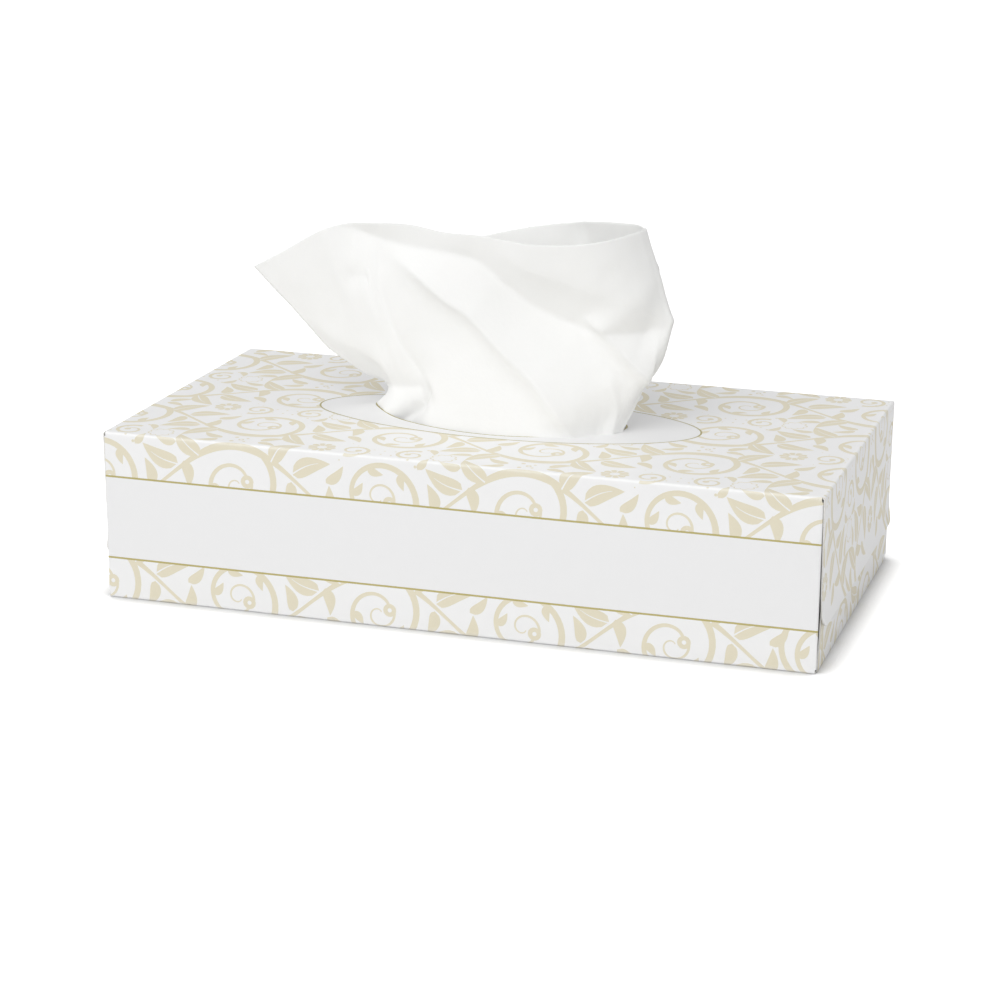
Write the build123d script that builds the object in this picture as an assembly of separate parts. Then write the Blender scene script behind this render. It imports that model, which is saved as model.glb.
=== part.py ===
from build123d import *
import math
import os

os.makedirs("parts", exist_ok=True)

# Outside of the closed carton, in millimetres.
length = 236.0
width = 125.0
height = 56.0

# The board and how it folds.
board = 0.45
crease = 0.40
glue_film = 0.20
flap_slit = 0.50

# Flaps that close each end.
outer_flap_drop = 42.0
outer_flap_taper = 1.5
outer_curl_out = 1.2
outer_curl_run = 9.0
lower_flap_reach = 41.0
lower_flap_taper = 3.0
dust_flap_reach = 46.0
dust_flap_taper = 7.0
flap_corner = 4.0

# The glued seam inside the back panel.
seam_flap_height = 14.0
seam_flap_slant = 6.0
seam_edge_lift = 0.30
seam_glue_height = 7.0

# Dabs of glue between the end flaps.
glue_dab_length = 28.0
glue_dab_height = 7.0
outer_dab_spacing = 56.0
outer_dab_level = 33.0
dust_dab_spacing = 78.0
dust_dab_level = 20.0

# Dispensing opening in the top panel, a pointed oval with blunted tips.
opening_length = 95.6
opening_width = 43.4
opening_tip_radius = 6.5
opening_offset = -1.5

# Print on the board: an oval field round the opening, a band along each long
# side, thin rules that edge them, and a scrolling vine over the rest.
ink = 0.05
oval_length = 130.8
oval_width = 52.4
oval_sides = 40
rule_width = 0.8
band_height = 27.5
band_level = 27.5
print_margin = 0.30
vine_pitch = 48.0
vine_row_spacing = 38.0
vine_stem = 2.0
vine_leaf_length = 13.5
vine_leaf_width = 6.4
vine_bud = 4.4
vine_scrap = 6.0

# The folded stack of tissues.
stack_end_play = 11.3
stack_side_play = 9.8
stack_headroom = 10.1
bundle_height = 7.5
bundle_bulge = 1.2

# The tissue drawn up through the opening.
sheet = 0.30
plume_rise = 65.4
pinch_rise = 6.5
rim_tilt = 6.0
neck_clearance = 0.60

# How far cutting solids run past what they cut.
overrun = 2.0

# Places that follow from the sizes above.
half_length = length / 2
half_width = width / 2
mid = board / 2
layer = board + glue_film
fold = crease + mid
outer_x = half_length - mid
lower_x = outer_x - layer
dust_x = lower_x - layer
tube_end = dust_x - fold
panel_half = half_width - board - crease
seam_y = half_width - mid - layer
curl_radius = (outer_curl_run**2 + outer_curl_out**2) / (2 * outer_curl_out)
curl_angle = math.degrees(math.asin(outer_curl_run / curl_radius))
curl_top = height - outer_flap_drop + outer_curl_run
bundle_half = half_width - board - stack_side_play
stack_height = height - 2 * board - stack_headroom
stack_top = board + stack_height
stack_length = 2 * (dust_x - mid - stack_end_play)


def ribbon(plane, path, depth):
    """Board that follows a path in a plane, as deep as stated on both sides."""
    return extrude(plane * trace(path, board), amount=depth, both=True)


def trapezoid_prism(root_z, tip_z, root_half, tip_half, centre, x_start, x_end):
    """Prism along X whose outline is a flap: straight root, tapered, blunted tip."""
    outline = make_face(
        Polyline(
            (centre - root_half, root_z),
            (centre + root_half, root_z),
            (centre + tip_half, tip_z),
            (centre - tip_half, tip_z),
            close=True,
        )
    )
    tip = outline.vertices().sort_by_distance((centre, tip_z))[0:2]
    outline = fillet(tip, flap_corner)
    return extrude(Plane.YZ.offset(x_start) * outline, amount=x_end - x_start)


def opening_outline(grow=0.0):
    """Lens of two equal arcs with blunted tips, grown outwards by a rule's width."""
    half_l = opening_length / 2
    half_w = opening_width / 2
    arcs = [
        ThreePointArc((-half_l, 0), (0, -half_w), (half_l, 0)),
        ThreePointArc((half_l, 0), (0, half_w), (-half_l, 0)),
    ]
    lens = make_face(arcs)
    lens = fillet(lens.vertices(), opening_tip_radius)
    if grow:
        lens = offset(lens, amount=grow)
    return Pos(0, opening_offset) * lens


def tube_of_panels():
    """Seam flap, bottom, front, top and back, one strip of board folded to a tube."""
    wall_y = half_width - mid
    path = FilletPolyline(
        (seam_y, seam_flap_height),
        (seam_y, mid),
        (-wall_y, mid),
        (-wall_y, height - mid),
        (wall_y, height - mid),
        (wall_y, seam_edge_lift),
        radius=fold,
    )
    tube = ribbon(Plane.YZ, path, tube_end)
    corner = make_face(
        Polyline(
            (tube_end + overrun, board + crease),
            (tube_end, board + crease),
            (tube_end - seam_flap_slant, seam_flap_height + overrun),
            (tube_end + overrun, seam_flap_height + overrun),
            close=True,
        )
    )
    slit_y = half_width - board - glue_film / 2
    trim = extrude(Plane.XZ.offset(-slit_y) * corner, amount=overrun)
    return tube - trim - mirror(trim, about=Plane.YZ)


def outer_flap():
    """Flap that hangs from the top panel over the others, its free edge curled out."""
    straight = FilletPolyline(
        (tube_end, height - mid), (outer_x, height - mid), (outer_x, curl_top), radius=fold
    )
    curl_sweep = curl_angle + math.degrees(overrun / curl_radius)
    curl = JernArc(straight @ 1, straight % 1, curl_radius, curl_sweep)
    flap = ribbon(Plane.XZ, [straight, curl], half_width)
    keep = trapezoid_prism(
        height + overrun,
        height - outer_flap_drop,
        panel_half,
        panel_half - outer_flap_taper,
        0,
        tube_end,
        half_length + outer_curl_out + overrun,
    )
    return flap & keep


def lower_flap():
    """Flap that stands up from the bottom panel behind the outer flap."""
    path = FilletPolyline(
        (tube_end, mid), (lower_x, mid), (lower_x, lower_flap_reach + overrun), radius=fold
    )
    flap = ribbon(Plane.XZ, path, half_width)
    front_edge = -panel_half
    back_edge = seam_y - fold
    centre = (front_edge + back_edge) / 2
    root_half = (back_edge - front_edge) / 2
    keep = trapezoid_prism(
        -overrun,
        lower_flap_reach,
        root_half,
        root_half - lower_flap_taper,
        centre,
        tube_end,
        half_length + overrun,
    )
    return flap & keep


def dust_flap():
    """Flap folded in from the front panel, tapered away from its crease."""
    wall_y = half_width - mid
    bend = JernArc((tube_end, -wall_y), (1, 0), fold, 90)
    leaf = Line(bend @ 1, (dust_x, overrun - half_width + dust_flap_reach))
    low = board + crease + flap_slit
    high = height - board - crease - flap_slit
    flap = extrude(trace([bend, leaf], board), amount=high - low)
    outline = make_face(
        Polyline(
            (-half_width - overrun, low),
            (-half_width + board + crease, low),
            (-half_width + dust_flap_reach, low + dust_flap_taper),
            (-half_width + dust_flap_reach, high - dust_flap_taper),
            (-half_width + board + crease, high),
            (-half_width - overrun, high),
            close=True,
        )
    )
    outline = fillet(outline.vertices().group_by(Axis.X)[-1], flap_corner)
    keep = extrude(Plane.YZ.offset(tube_end) * outline, amount=length - half_length)
    return (Pos(0, 0, low) * flap) & keep


def make_carton():
    """The whole folded blank: one sheet of board with its opening."""
    dust = dust_flap()
    end = [outer_flap(), lower_flap(), dust, mirror(dust, about=Plane.XZ)]
    carton = tube_of_panels()
    for flap in end:
        carton = carton + flap + mirror(flap, about=Plane.YZ)
    under = Plane.XY.offset(height - board - overrun)
    cut = extrude(under * opening_outline(), amount=board + 2 * overrun)
    return carton - cut


def glue_dab(x_face, y, level):
    """Dab of dried glue, as thick as the film, on the outer side of a flap."""
    return Pos(x_face + glue_film / 2, y, level) * Box(glue_film, glue_dab_length, glue_dab_height)


def make_seam_glue():
    """Strip of glue between the seam flap and the back panel."""
    level = (board + crease + seam_flap_height) / 2
    span = 2 * (tube_end - seam_flap_slant)
    return Pos(0, half_width - board - glue_film / 2, level) * Box(span, glue_film, seam_glue_height)


def make_end_glue():
    """Dabs that hold the outer flap to the lower one and the lower one to the dust flaps."""
    dabs = []
    for side in (-1, 1):
        dabs.append(glue_dab(lower_x + mid, side * outer_dab_spacing / 2, outer_dab_level))
        dabs.append(glue_dab(dust_x + mid, side * dust_dab_spacing / 2, dust_dab_level))
    dabs += [mirror(dab, about=Plane.YZ) for dab in dabs]
    return Compound(children=dabs)


def stack_side(side):
    """Rounded edges of the folded bundles up one long side of the stack."""
    count = max(1, round(stack_height / bundle_height))
    step = stack_height / count
    arcs = []
    for k in range(count):
        low = board + k * step
        arcs.append(
            ThreePointArc(
                (side * bundle_half, low),
                (side * (bundle_half + bundle_bulge), low + step / 2),
                (side * bundle_half, low + step),
            )
        )
    return arcs


def make_tissue_stack():
    """Interfolded tissues left in the carton, one block with folded long sides."""
    base = Line((-bundle_half, board), (bundle_half, board))
    top = Line((-bundle_half, stack_top), (bundle_half, stack_top))
    outline = make_face([base, top] + stack_side(-1) + stack_side(1))
    return extrude(Plane.YZ * outline, amount=stack_length / 2, both=True)


# Lines that climb the raised half of the top tissue, from its left free edge
# round to its right one.  Each row gives places in the opening, at the pinch
# just above it, halfway up and at the free edge.  In the opening and at the
# pinch, x is a share of half the opening's length; above, of half the sheet's.
# y is a share of half the opening's width, and the last value is the free
# edge's height as a share of the plume's rise.
tissue_line_shares = (
    (-0.868, 0.213, -0.945, 0.166, -0.698, 0.166, -0.866, 0.161, 0.670),
    (-0.938, 0.000, -0.945, -0.047, -0.591, -0.019, -0.752, 0.019, 0.771),
    (-0.885, -0.166, -0.890, -0.290, -0.505, -0.209, -0.648, -0.118, 0.870),
    (-0.805, -0.393, -0.818, -0.493, -0.440, -0.370, -0.548, -0.251, 0.940),
    (-0.661, -0.384, -0.695, -0.365, -0.380, -0.389, -0.448, -0.351, 0.959),
    (-0.521, -0.735, -0.551, -0.630, -0.300, -0.441, -0.319, -0.412, 0.972),
    (-0.210, -0.938, -0.239, -0.820, -0.170, -0.479, -0.195, -0.464, 0.951),
    (0.110, -0.976, 0.089, -0.844, -0.040, -0.441, -0.057, -0.536, 0.951),
    (0.390, -0.867, 0.375, -0.777, 0.100, -0.389, 0.086, -0.602, 0.943),
    (0.640, -0.640, 0.644, -0.592, 0.240, -0.389, 0.219, -0.645, 0.951),
    (0.760, -0.412, 0.795, -0.370, 0.400, -0.322, 0.348, -0.573, 0.982),
    (0.858, -0.255, 0.895, -0.170, 0.520, 0.019, 0.432, 0.000, 1.002),
    (0.811, 0.128, 0.837, 0.147, 0.440, 0.299, 0.362, 0.308, 1.000),
    (0.456, 0.308, 0.481, 0.351, 0.280, 0.479, 0.205, 0.536, 0.992),
    (0.070, 0.389, 0.110, 0.412, 0.100, 0.512, 0.029, 0.592, 0.954),
    (-0.301, 0.441, -0.280, 0.441, -0.091, 0.460, -0.191, 0.474, 0.862),
)
level_shares = (0.22, 0.40, 0.56, 0.72, 0.88, 1.04)
foot_spread_shares = (1.10, 1.25)
round_share = 0.0625
tip_line_count = 12


def tissue_point(line, level):
    """Place on one climbing line at a level, straight up to the pinch, then curved."""
    neck_x, neck_y, pinch_x, pinch_y, waist_x, waist_y, rim_x, rim_y, rim_z = line
    slot_half_l = opening_length / 2 - neck_clearance
    slot_half_w = opening_width / 2 - neck_clearance
    sheet_half = stack_length / 2
    if level <= height:
        return Vector(neck_x * slot_half_l, opening_offset + neck_y * slot_half_w)
    low = height + pinch_rise
    climb = (level - low) / (height + rim_z * plume_rise - low)
    pinch = Vector(pinch_x * slot_half_l, pinch_y * slot_half_w)
    waist = Vector(waist_x * sheet_half, waist_y * slot_half_w)
    rim = Vector(rim_x * sheet_half, rim_y * slot_half_w)
    place = (
        pinch * (2 * climb - 1) * (climb - 1)
        + waist * 4 * climb * (1 - climb)
        + rim * climb * (2 * climb - 1)
    )
    return place + Vector(0, opening_offset)


def halfway(places, k):
    """Place between one line and the next, on a smooth curve through their neighbours."""
    last = len(places) - 1
    near = places[k] + places[k + 1]
    far = places[max(k - 1, 0)] + places[min(k + 2, last)]
    return near / 2 + (near - far) * round_share


def tissue_section(level, spread=(1, 1)):
    """Corners of the gathered sheet's thin outline where it crosses a level."""
    centre = Vector(0, opening_offset)
    lines = []
    for line in tissue_line_shares:
        out = tissue_point(line, level) - centre
        lines.append(centre + Vector(out.X * spread[0], out.Y * spread[1], level))
    places = [lines[0]]
    for k in range(len(lines) - 1):
        places += [halfway(lines, k), lines[k + 1]]
    last = len(places) - 1
    outer = []
    inner = []
    for k, place in enumerate(places):
        run = places[min(k + 1, last)] - places[max(k - 1, 0)]
        across = Vector(-run.Y, run.X).normalized() * (sheet / 2)
        outer.append(place + across)
        inner.append(place - across)
    return outer + inner[::-1]


def facet(*corners):
    """Flat face between corners."""
    return Face(Wire.make_polygon(corners, close=True))


def folded_sheet(sections):
    """Solid sheet of flat facets through sections, each cell folded on its shorter line."""
    faces = [facet(*sections[0]), facet(*sections[-1])]
    count = len(sections[0])
    for low, high in zip(sections, sections[1:]):
        for k in range(count):
            after = (k + 1) % count
            a, b, c, d = low[k], low[after], high[after], high[k]
            if (a - c).length < (b - d).length:
                faces += [facet(a, b, c), facet(a, c, d)]
            else:
                faces += [facet(a, b, d), facet(b, c, d)]
    return Solid(Shell(faces))


def above_the_rim():
    """Everything above the free edge, sloping up towards the back."""
    sheet_half = stack_length / 2
    front = tissue_line_shares[:tip_line_count]
    edge = [(line[6] * sheet_half, height + line[8] * plume_rise) for line in front]
    start_slope = (edge[0][1] - edge[1][1]) / (edge[0][0] - edge[1][0])
    lead = (-length, edge[0][1] - start_slope * (length + edge[0][0]))
    high = height + 2 * plume_rise
    outline = Polyline(
        lead, *edge, (length, edge[-1][1]), (length, high), (-length, high), close=True
    )
    prism = extrude(Plane.XZ * make_face(outline), amount=half_width, both=True)
    return Rot(X=rim_tilt) * prism


def make_raised_tissue():
    """Top tissue: its lower half lies on the stack, its raised half is gathered up."""
    lower_half = Pos(0, 0, stack_top + sheet / 2) * Box(stack_length, 2 * bundle_half, sheet)
    levels = [height - mid, height + pinch_rise]
    levels += [height + share * plume_rise for share in level_shares]
    sections = [tissue_section(stack_top + sheet / 2, foot_spread_shares)]
    sections += [tissue_section(level) for level in levels]
    return lower_half + (folded_sheet(sections) - above_the_rim())


# Flat faces that carry print, each with its own two axes.  The top's first axis
# runs along the length; on the long sides and the ends the second and the
# first axis run on round the crease, so the vine crosses each crease unbroken.
top_face = Plane((0, 0, height), x_dir=(1, 0, 0), z_dir=(0, 0, 1))
front_face = Plane((0, -half_width, height), x_dir=(1, 0, 0), z_dir=(0, -1, 0))
back_face = Plane((0, half_width, height), x_dir=(1, 0, 0), z_dir=(0, 1, 0))
right_face = Plane((half_length, 0, height), x_dir=(0, 0, -1), z_dir=(1, 0, 0))
left_face = Plane((-half_length, 0, height), x_dir=(0, 0, 1), z_dir=(-1, 0, 0))
lower_right_face = Plane((lower_x + mid, 0, 0), x_dir=(0, 1, 0), z_dir=(1, 0, 0))
lower_left_face = Plane((-lower_x - mid, 0, 0), x_dir=(0, -1, 0), z_dir=(-1, 0, 0))
round_start = board + crease + print_margin
band_top = band_level + band_height / 2
band_bottom = band_level - band_height / 2


def printed(face, sketch):
    """Skin of ink laid on a flat face."""
    return extrude(face * sketch, amount=ink, dir=face.z_dir)


def strip(x_half, low, high):
    """Rectangle between two levels, as wide as stated on both sides."""
    return Pos(0, (low + high) / 2) * Rectangle(2 * x_half, high - low)


def oval(grow=0.0):
    """Oval with many short sides that edges the bare field round the opening."""
    half_l = oval_length / 2 + grow
    half_w = oval_width / 2 + grow
    turns = [2 * math.pi * k / oval_sides for k in range(oval_sides)]
    outline = Polyline(*[(half_l * math.cos(t), half_w * math.sin(t)) for t in turns], close=True)
    return Pos(0, opening_offset) * make_face(outline)


def make_printed_fields():
    """Bare bands on the long sides and the bare oval field round the opening."""
    half_rule = rule_width / 2
    band = strip(tube_end, band_bottom + half_rule - height, band_top - half_rule - height)
    field = oval(-half_rule) - opening_outline(rule_width)
    skins = [
        printed(top_face, field),
        printed(front_face, band),
        printed(back_face, mirror(band, about=Plane.XZ)),
    ]
    return Compound(children=skins)


def make_printed_rules():
    """Thin rules along both bands, round the oval field and round the opening."""
    half_rule = rule_width / 2
    skins = [
        printed(top_face, oval(half_rule) - oval(-half_rule)),
        printed(top_face, opening_outline(rule_width) - opening_outline()),
    ]
    for level in (band_bottom, band_top):
        rule = strip(tube_end, level - half_rule - height, level + half_rule - height)
        skins.append(printed(front_face, rule))
        skins.append(printed(back_face, mirror(rule, about=Plane.XZ)))
    return Compound(children=skins)


# The vine: a stem that waves along each row, and in every bay of the wave a
# curl that ends in a bud, with leaves beside it.  Shares are of the pitch.
wave_share = 0.27
curl_start_share = 0.20
curl_end_share = 0.09
curl_turn = 390.0
curl_steps = 7
wave_steps = 4
leaf_place_shares = ((0.355, 0.280, 48.0), (-0.345, 0.290, 130.0), (-0.540, 0.170, 155.0))


def wave_point(share):
    """Point of the stem's wave over one bay, from -0.5 to 0.5 of the pitch."""
    return Vector(share * vine_pitch, wave_share * vine_pitch * math.cos(math.pi * share))


def stroke(points):
    """Stem of even width along a chain of points."""
    return trace(Polyline(*points), vine_stem)


def leaf(place, angle):
    """Pointed leaf, widest before the middle."""
    half_l = vine_leaf_length / 2
    half_w = vine_leaf_width / 2
    outline = Polyline(
        (-half_l, 0), (-half_l / 2, half_w), (half_l / 3, half_w / 2),
        (half_l, 0), (half_l / 3, -half_w / 2), (-half_l / 2, -half_w), close=True,
    )
    return Pos(place.X, place.Y) * Rot(Z=angle) * make_face(outline)


def bay():
    """One bay of the vine with its curl, bud and leaves, its crest upwards."""
    wave = stroke([wave_point(k / wave_steps - 1 / 2) for k in range(wave_steps + 1)])
    start = wave_point(curl_start_share)
    radius = start.length
    shrink = (curl_end_share * vine_pitch - radius) / curl_steps
    turn = math.radians(curl_turn) / curl_steps
    first = math.atan2(start.Y, start.X)
    curl_points = []
    for k in range(curl_steps + 1):
        arm = Vector(radius + k * shrink, 0)
        curl_points.append(arm.rotate(Axis.Z, math.degrees(first - k * turn)))
    bud = Pos(curl_points[-1].X, curl_points[-1].Y) * RegularPolygon(vine_bud / 2, 6)
    leaves = [
        leaf(Vector(x_share * vine_pitch, y_share * vine_pitch), angle)
        for x_share, y_share, angle in leaf_place_shares
    ]
    return [wave + stroke(curl_points) + bud] + leaves


def vine_pattern(u_half, v_half):
    """Rows of bays that cover a sheet, each bay the other way up from the last."""
    shapes = []
    bays = math.ceil(u_half / vine_pitch)
    rows = math.ceil(v_half / vine_row_spacing)
    one_bay = bay()
    for row in range(-rows, rows + 1):
        for k in range(-bays, bays):
            place = Pos((k + 1 / 2) * vine_pitch, row * vine_row_spacing)
            flip = Rot(X=180 * ((k + row) % 2))
            shapes += [place * flip * shape for shape in one_bay]
    return shapes


def clip(shapes, region, shift):
    """Parts of the shifted pattern that fall in a region, without its smallest scraps."""
    kept = []
    box = region.bounding_box()
    for shape in shapes:
        moved = shift * shape
        size = moved.bounding_box()
        if size.min.X > box.max.X or size.max.X < box.min.X:
            continue
        if size.min.Y > box.max.Y or size.max.Y < box.min.Y:
            continue
        piece = moved & region
        if piece is not None:
            kept += piece.faces()
    joined = Sketch() + kept
    return [face for face in joined.faces() if face.area > vine_scrap * vine_stem]


def make_printed_vine():
    """Vine over the top, the long sides beside their bands, and both ends."""
    shapes = vine_pattern(half_length + outer_flap_drop, half_width + height)
    half_rule = rule_width / 2
    panel = Rectangle(2 * tube_end, 2 * (half_width - round_start)) - oval(half_rule)
    high = strip(tube_end, band_top + half_rule - height, -round_start)
    low = strip(tube_end, round_start - height, band_bottom - half_rule - height)
    end_depth = height - curl_top - round_start
    end_half = panel_half - outer_flap_taper
    end = Pos(round_start + end_depth / 2, 0) * Rectangle(end_depth, 2 * end_half)
    flap_low = height - outer_flap_drop - print_margin
    under = strip(panel_half - lower_flap_taper, round_start, flap_low)
    jobs = [
        (top_face, panel, Pos(0, 0)),
        (front_face, high, Pos(0, half_width)),
        (front_face, low, Pos(0, half_width)),
        (back_face, mirror(high, about=Plane.XZ), Pos(0, -half_width)),
        (back_face, mirror(low, about=Plane.XZ), Pos(0, -half_width)),
        (right_face, end, Pos(-half_length, 0)),
        (left_face, mirror(end, about=Plane.YZ), Pos(half_length, 0)),
        (lower_right_face, under, Pos(0, 0)),
        (lower_left_face, under, Pos(0, 0)),
    ]
    skins = []
    for face, region, shift in jobs:
        skins += [printed(face, piece) for piece in clip(shapes, region, shift)]
    return Compound(children=skins)


parts = {
    "carton": make_carton(),
    "seam_glue": make_seam_glue(),
    "end_flap_glue": make_end_glue(),
    "tissue_stack": make_tissue_stack(),
    "raised_tissue": make_raised_tissue(),
    "printed_fields": make_printed_fields(),
    "printed_rules": make_printed_rules(),
    "printed_vine": make_printed_vine(),
}
for name, shape in parts.items():
    export_step(shape, "parts/" + name + ".step")
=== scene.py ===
import logging
import math
from collections.abc import Callable
from dataclasses import dataclass
from enum import Enum

import bpy
import numpy as np
from mathutils import Matrix, Vector, geometry, noise


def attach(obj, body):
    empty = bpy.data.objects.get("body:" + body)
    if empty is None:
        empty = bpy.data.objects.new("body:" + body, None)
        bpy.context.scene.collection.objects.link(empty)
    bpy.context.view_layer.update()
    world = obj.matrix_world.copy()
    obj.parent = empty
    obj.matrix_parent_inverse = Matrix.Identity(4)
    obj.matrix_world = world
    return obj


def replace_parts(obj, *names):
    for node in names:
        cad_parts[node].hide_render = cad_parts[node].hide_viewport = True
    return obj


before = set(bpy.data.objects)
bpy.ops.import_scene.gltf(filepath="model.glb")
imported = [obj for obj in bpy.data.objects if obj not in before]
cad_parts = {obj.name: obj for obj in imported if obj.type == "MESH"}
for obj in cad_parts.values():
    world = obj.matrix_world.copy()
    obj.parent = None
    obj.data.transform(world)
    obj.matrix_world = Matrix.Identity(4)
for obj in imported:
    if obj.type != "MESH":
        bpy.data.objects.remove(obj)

MM = 0.001
FLOAT_SLACK = 1e-3
SLOPE_STEP = 0.05
LOG = logging.getLogger("tissue_box")


# Shaders


def _operator(operation: str, swapped: bool = False) -> Callable[["Link", object], "Link"]:
    """Makes an arithmetic method for sockets.

    Args:
        operation: Name of the Math node's operation.
        swapped: Whether it is the reflected form.

    Returns:
        A method that adds the Math node.
    """

    def method(self: "Link", other: object) -> "Link":
        """Adds one Math node of this socket and another, or a number."""
        first, second = (other, self) if swapped else (self, other)
        return self.shader.node("ShaderNodeMath", {"operation": operation}, {0: first, 1: second})

    return method


class Link:
    """A shader socket that takes part in arithmetic."""

    __add__, __radd__ = _operator("ADD"), _operator("ADD", True)
    __sub__, __rsub__ = _operator("SUBTRACT"), _operator("SUBTRACT", True)
    __mul__, __rmul__ = _operator("MULTIPLY"), _operator("MULTIPLY", True)
    __pow__, __rpow__ = _operator("POWER"), _operator("POWER", True)

    def __init__(self, shader: "Shader", socket: bpy.types.NodeSocket | None) -> None:
        """Keeps the socket and the shader that it belongs to."""
        self.shader = shader
        self.socket = socket


class Shader:
    """Node tree of a material or a world, cleared and built up one node at a time."""

    def __init__(self, owner: bpy.types.Material | bpy.types.World) -> None:
        """Clears the owner's nodes.

        Args:
            owner: What the nodes are for.
        """
        self.owner = owner
        owner.use_nodes = True
        self.tree = owner.node_tree
        self.tree.nodes.clear()

    def node(
        self,
        kind: str,
        settings: dict[str, object] | None = None,
        inputs: dict[object, object] | None = None,
        result: object = 0,
    ) -> Link:
        """Adds one node of any type.

        Args:
            kind: Type of the node.
            settings: Properties, set before the sockets.
            inputs: Values or links by socket name or number.
            result: Name or number of the socket that is handed back.

        Returns:
            The chosen output socket, if the node has any.
        """
        made = self.tree.nodes.new(kind)
        for name, value in (settings or {}).items():
            setattr(made, name, value)
        for name, value in (inputs or {}).items():
            socket = made.inputs[name]
            if isinstance(value, Link):
                self.tree.links.new(value.socket, socket)
            elif isinstance(value, tuple) and socket.type == "RGBA":
                socket.default_value = (*value, 1)
            else:
                socket.default_value = value
        return Link(self, made.outputs[result] if made.outputs else None)

    def place(self) -> Link:
        """Position on the object, in metres of the shared frame."""
        return self.node("ShaderNodeTexCoord", result="Object")

    def grain(self, size: float, detail: float = 3.0, stretch: tuple = (1.0, 1.0, 1.0)) -> Link:
        """Noise of a real size.

        Args:
            size: Size of one blotch in metres.
            detail: Octaves of finer noise on it.
            stretch: How much longer a blotch is along each axis.

        Returns:
            The noise, from 0 to 1.
        """
        scale = tuple(1 / s for s in stretch)
        spot = self.node("ShaderNodeVectorMath", {"operation": "MULTIPLY"}, {0: self.place(), 1: scale})
        return self.node("ShaderNodeTexNoise", None, {"Vector": spot, "Scale": 1 / size, "Detail": detail})

    def attribute(self, name: str) -> Link:
        """Value kept at the mesh's corners or points."""
        return self.node("ShaderNodeAttribute", {"attribute_name": name}, result="Fac")

    def blend(self, share: Link | float, first: object, second: object) -> Link:
        """Colour between two colours.

        Args:
            share: How much of the second colour is taken.
            first: First colour or link.
            second: Second colour or link.

        Returns:
            The mixed colour.
        """
        return self.node("ShaderNodeMix", {"data_type": "RGBA"}, {0: share, 6: first, 7: second}, 2)

    def bump(self, height: Link, depth: float, under: Link | None = None) -> Link:
        """Bump from a height that runs from 0 to 1.

        Args:
            height: The height.
            depth: What the height's 1 stands for, in metres.
            under: Bump that this one lies on.

        Returns:
            The bent normal.
        """
        inputs = {"Height": height, "Distance": depth} | ({"Normal": under} if under else {})
        return self.node("ShaderNodeBump", None, inputs)

    def surface(self, **sockets: object) -> bpy.types.Material:
        """Adds the Principled shader and the material's output.

        Args:
            **sockets: Values or links, their names with _ for each space.

        Returns:
            The finished material.
        """
        inputs = {name.replace("_", " "): value for name, value in sockets.items()}
        skin = self.node("ShaderNodeBsdfPrincipled", None, inputs)
        self.node("ShaderNodeOutputMaterial", None, {"Surface": skin})
        return self.owner


# Finishes


@dataclass(frozen=True)
class Paint:
    """Name and colour of a finish."""

    name: str
    colour: tuple[float, float, float]

    def shader(self) -> Shader:
        """Node tree of a new material with the finish's name."""
        return Shader(bpy.data.materials.new(self.name))

    def tint(self, share: float) -> tuple[float, ...]:
        """The colour, darkened to a share of itself."""
        return tuple(c * share for c in self.colour)


@dataclass(frozen=True)
class CoatedBoard(Paint):
    """White clay-coated carton board with a thin water varnish."""

    rough: float = 0.46
    mottle: float = 0.018
    wear: float = 0.05
    sheen: float = 0.0
    varnish: float = 0.10
    varnish_rough: float = 0.35
    rub_rough: float = 0.18
    cloud_rough: float = 0.06
    cloud_size: float = 0.009
    cloud_depth: float = 0.00006
    fibre_stretch: tuple = (3.0, 1.0, 1.0)
    fibre_size: float = 0.0006
    fibre_depth: float = 0.000012
    rub_size: float = 0.0016

    def tone(self, s: Shader, cloud: Link, rub: Link) -> Link:
        """Faint mottle, paler where the creases are rubbed."""
        lighter = tuple(min(1.0, c + self.wear) for c in self.colour)
        return s.blend(rub, s.blend(cloud, self.tint(1 - self.mottle * 2), self.colour), lighter)

    def make(self) -> bpy.types.Material:
        """Board with its cloudy mottle, fibre grain and rubbed creases.

        Returns:
            The material.
        """
        s = self.shader()
        cloud = s.grain(self.cloud_size, 4.0)
        fibre = s.grain(self.fibre_size, 2.0, self.fibre_stretch)
        rub = s.attribute("crease") * s.grain(self.rub_size, 4.0)
        return s.surface(
            Base_Color=self.tone(s, cloud, rub),
            Roughness=self.rough + cloud * self.cloud_rough + rub * self.rub_rough,
            Normal=s.bump(fibre, self.fibre_depth, s.bump(cloud, self.cloud_depth)),
            Metallic=self.sheen,
            Coat_Weight=self.varnish,
            Coat_Roughness=self.varnish_rough,
        )


@dataclass(frozen=True)
class PrintedInk(CoatedBoard):
    """Offset ink on the coated board: the board's grain with the ink's colour."""

    rough: float = 0.52
    varnish: float = 0.06
    varnish_rough: float = 0.03
    rub_rough: float = 0.2
    dots: float = 0.05
    dot_size: float = 0.00035
    dot_pale: float = 0.9
    rub_share: float = 0.55
    cloud_share: float = 0.25
    paper: tuple[float, float, float] = (0.92, 0.92, 0.90)

    def tone(self, s: Shader, cloud: Link, rub: Link) -> Link:
        """Fine halftone speckle, worn to the paper where the creases are rubbed.

        Args:
            s: Shader that it is added to.
            cloud: The board's mottle.
            rub: Rub marks along the creases.

        Returns:
            The colour.
        """
        pale = tuple(c + (self.dot_pale - c) * self.dots * 2 for c in self.colour)
        speckle = s.blend(s.grain(self.dot_size, 1.0), self.tint(1 - self.dots), pale)
        clouded = s.blend(cloud * self.cloud_share, speckle, self.colour)
        return s.blend(rub * self.rub_share, clouded, self.paper)


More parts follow.
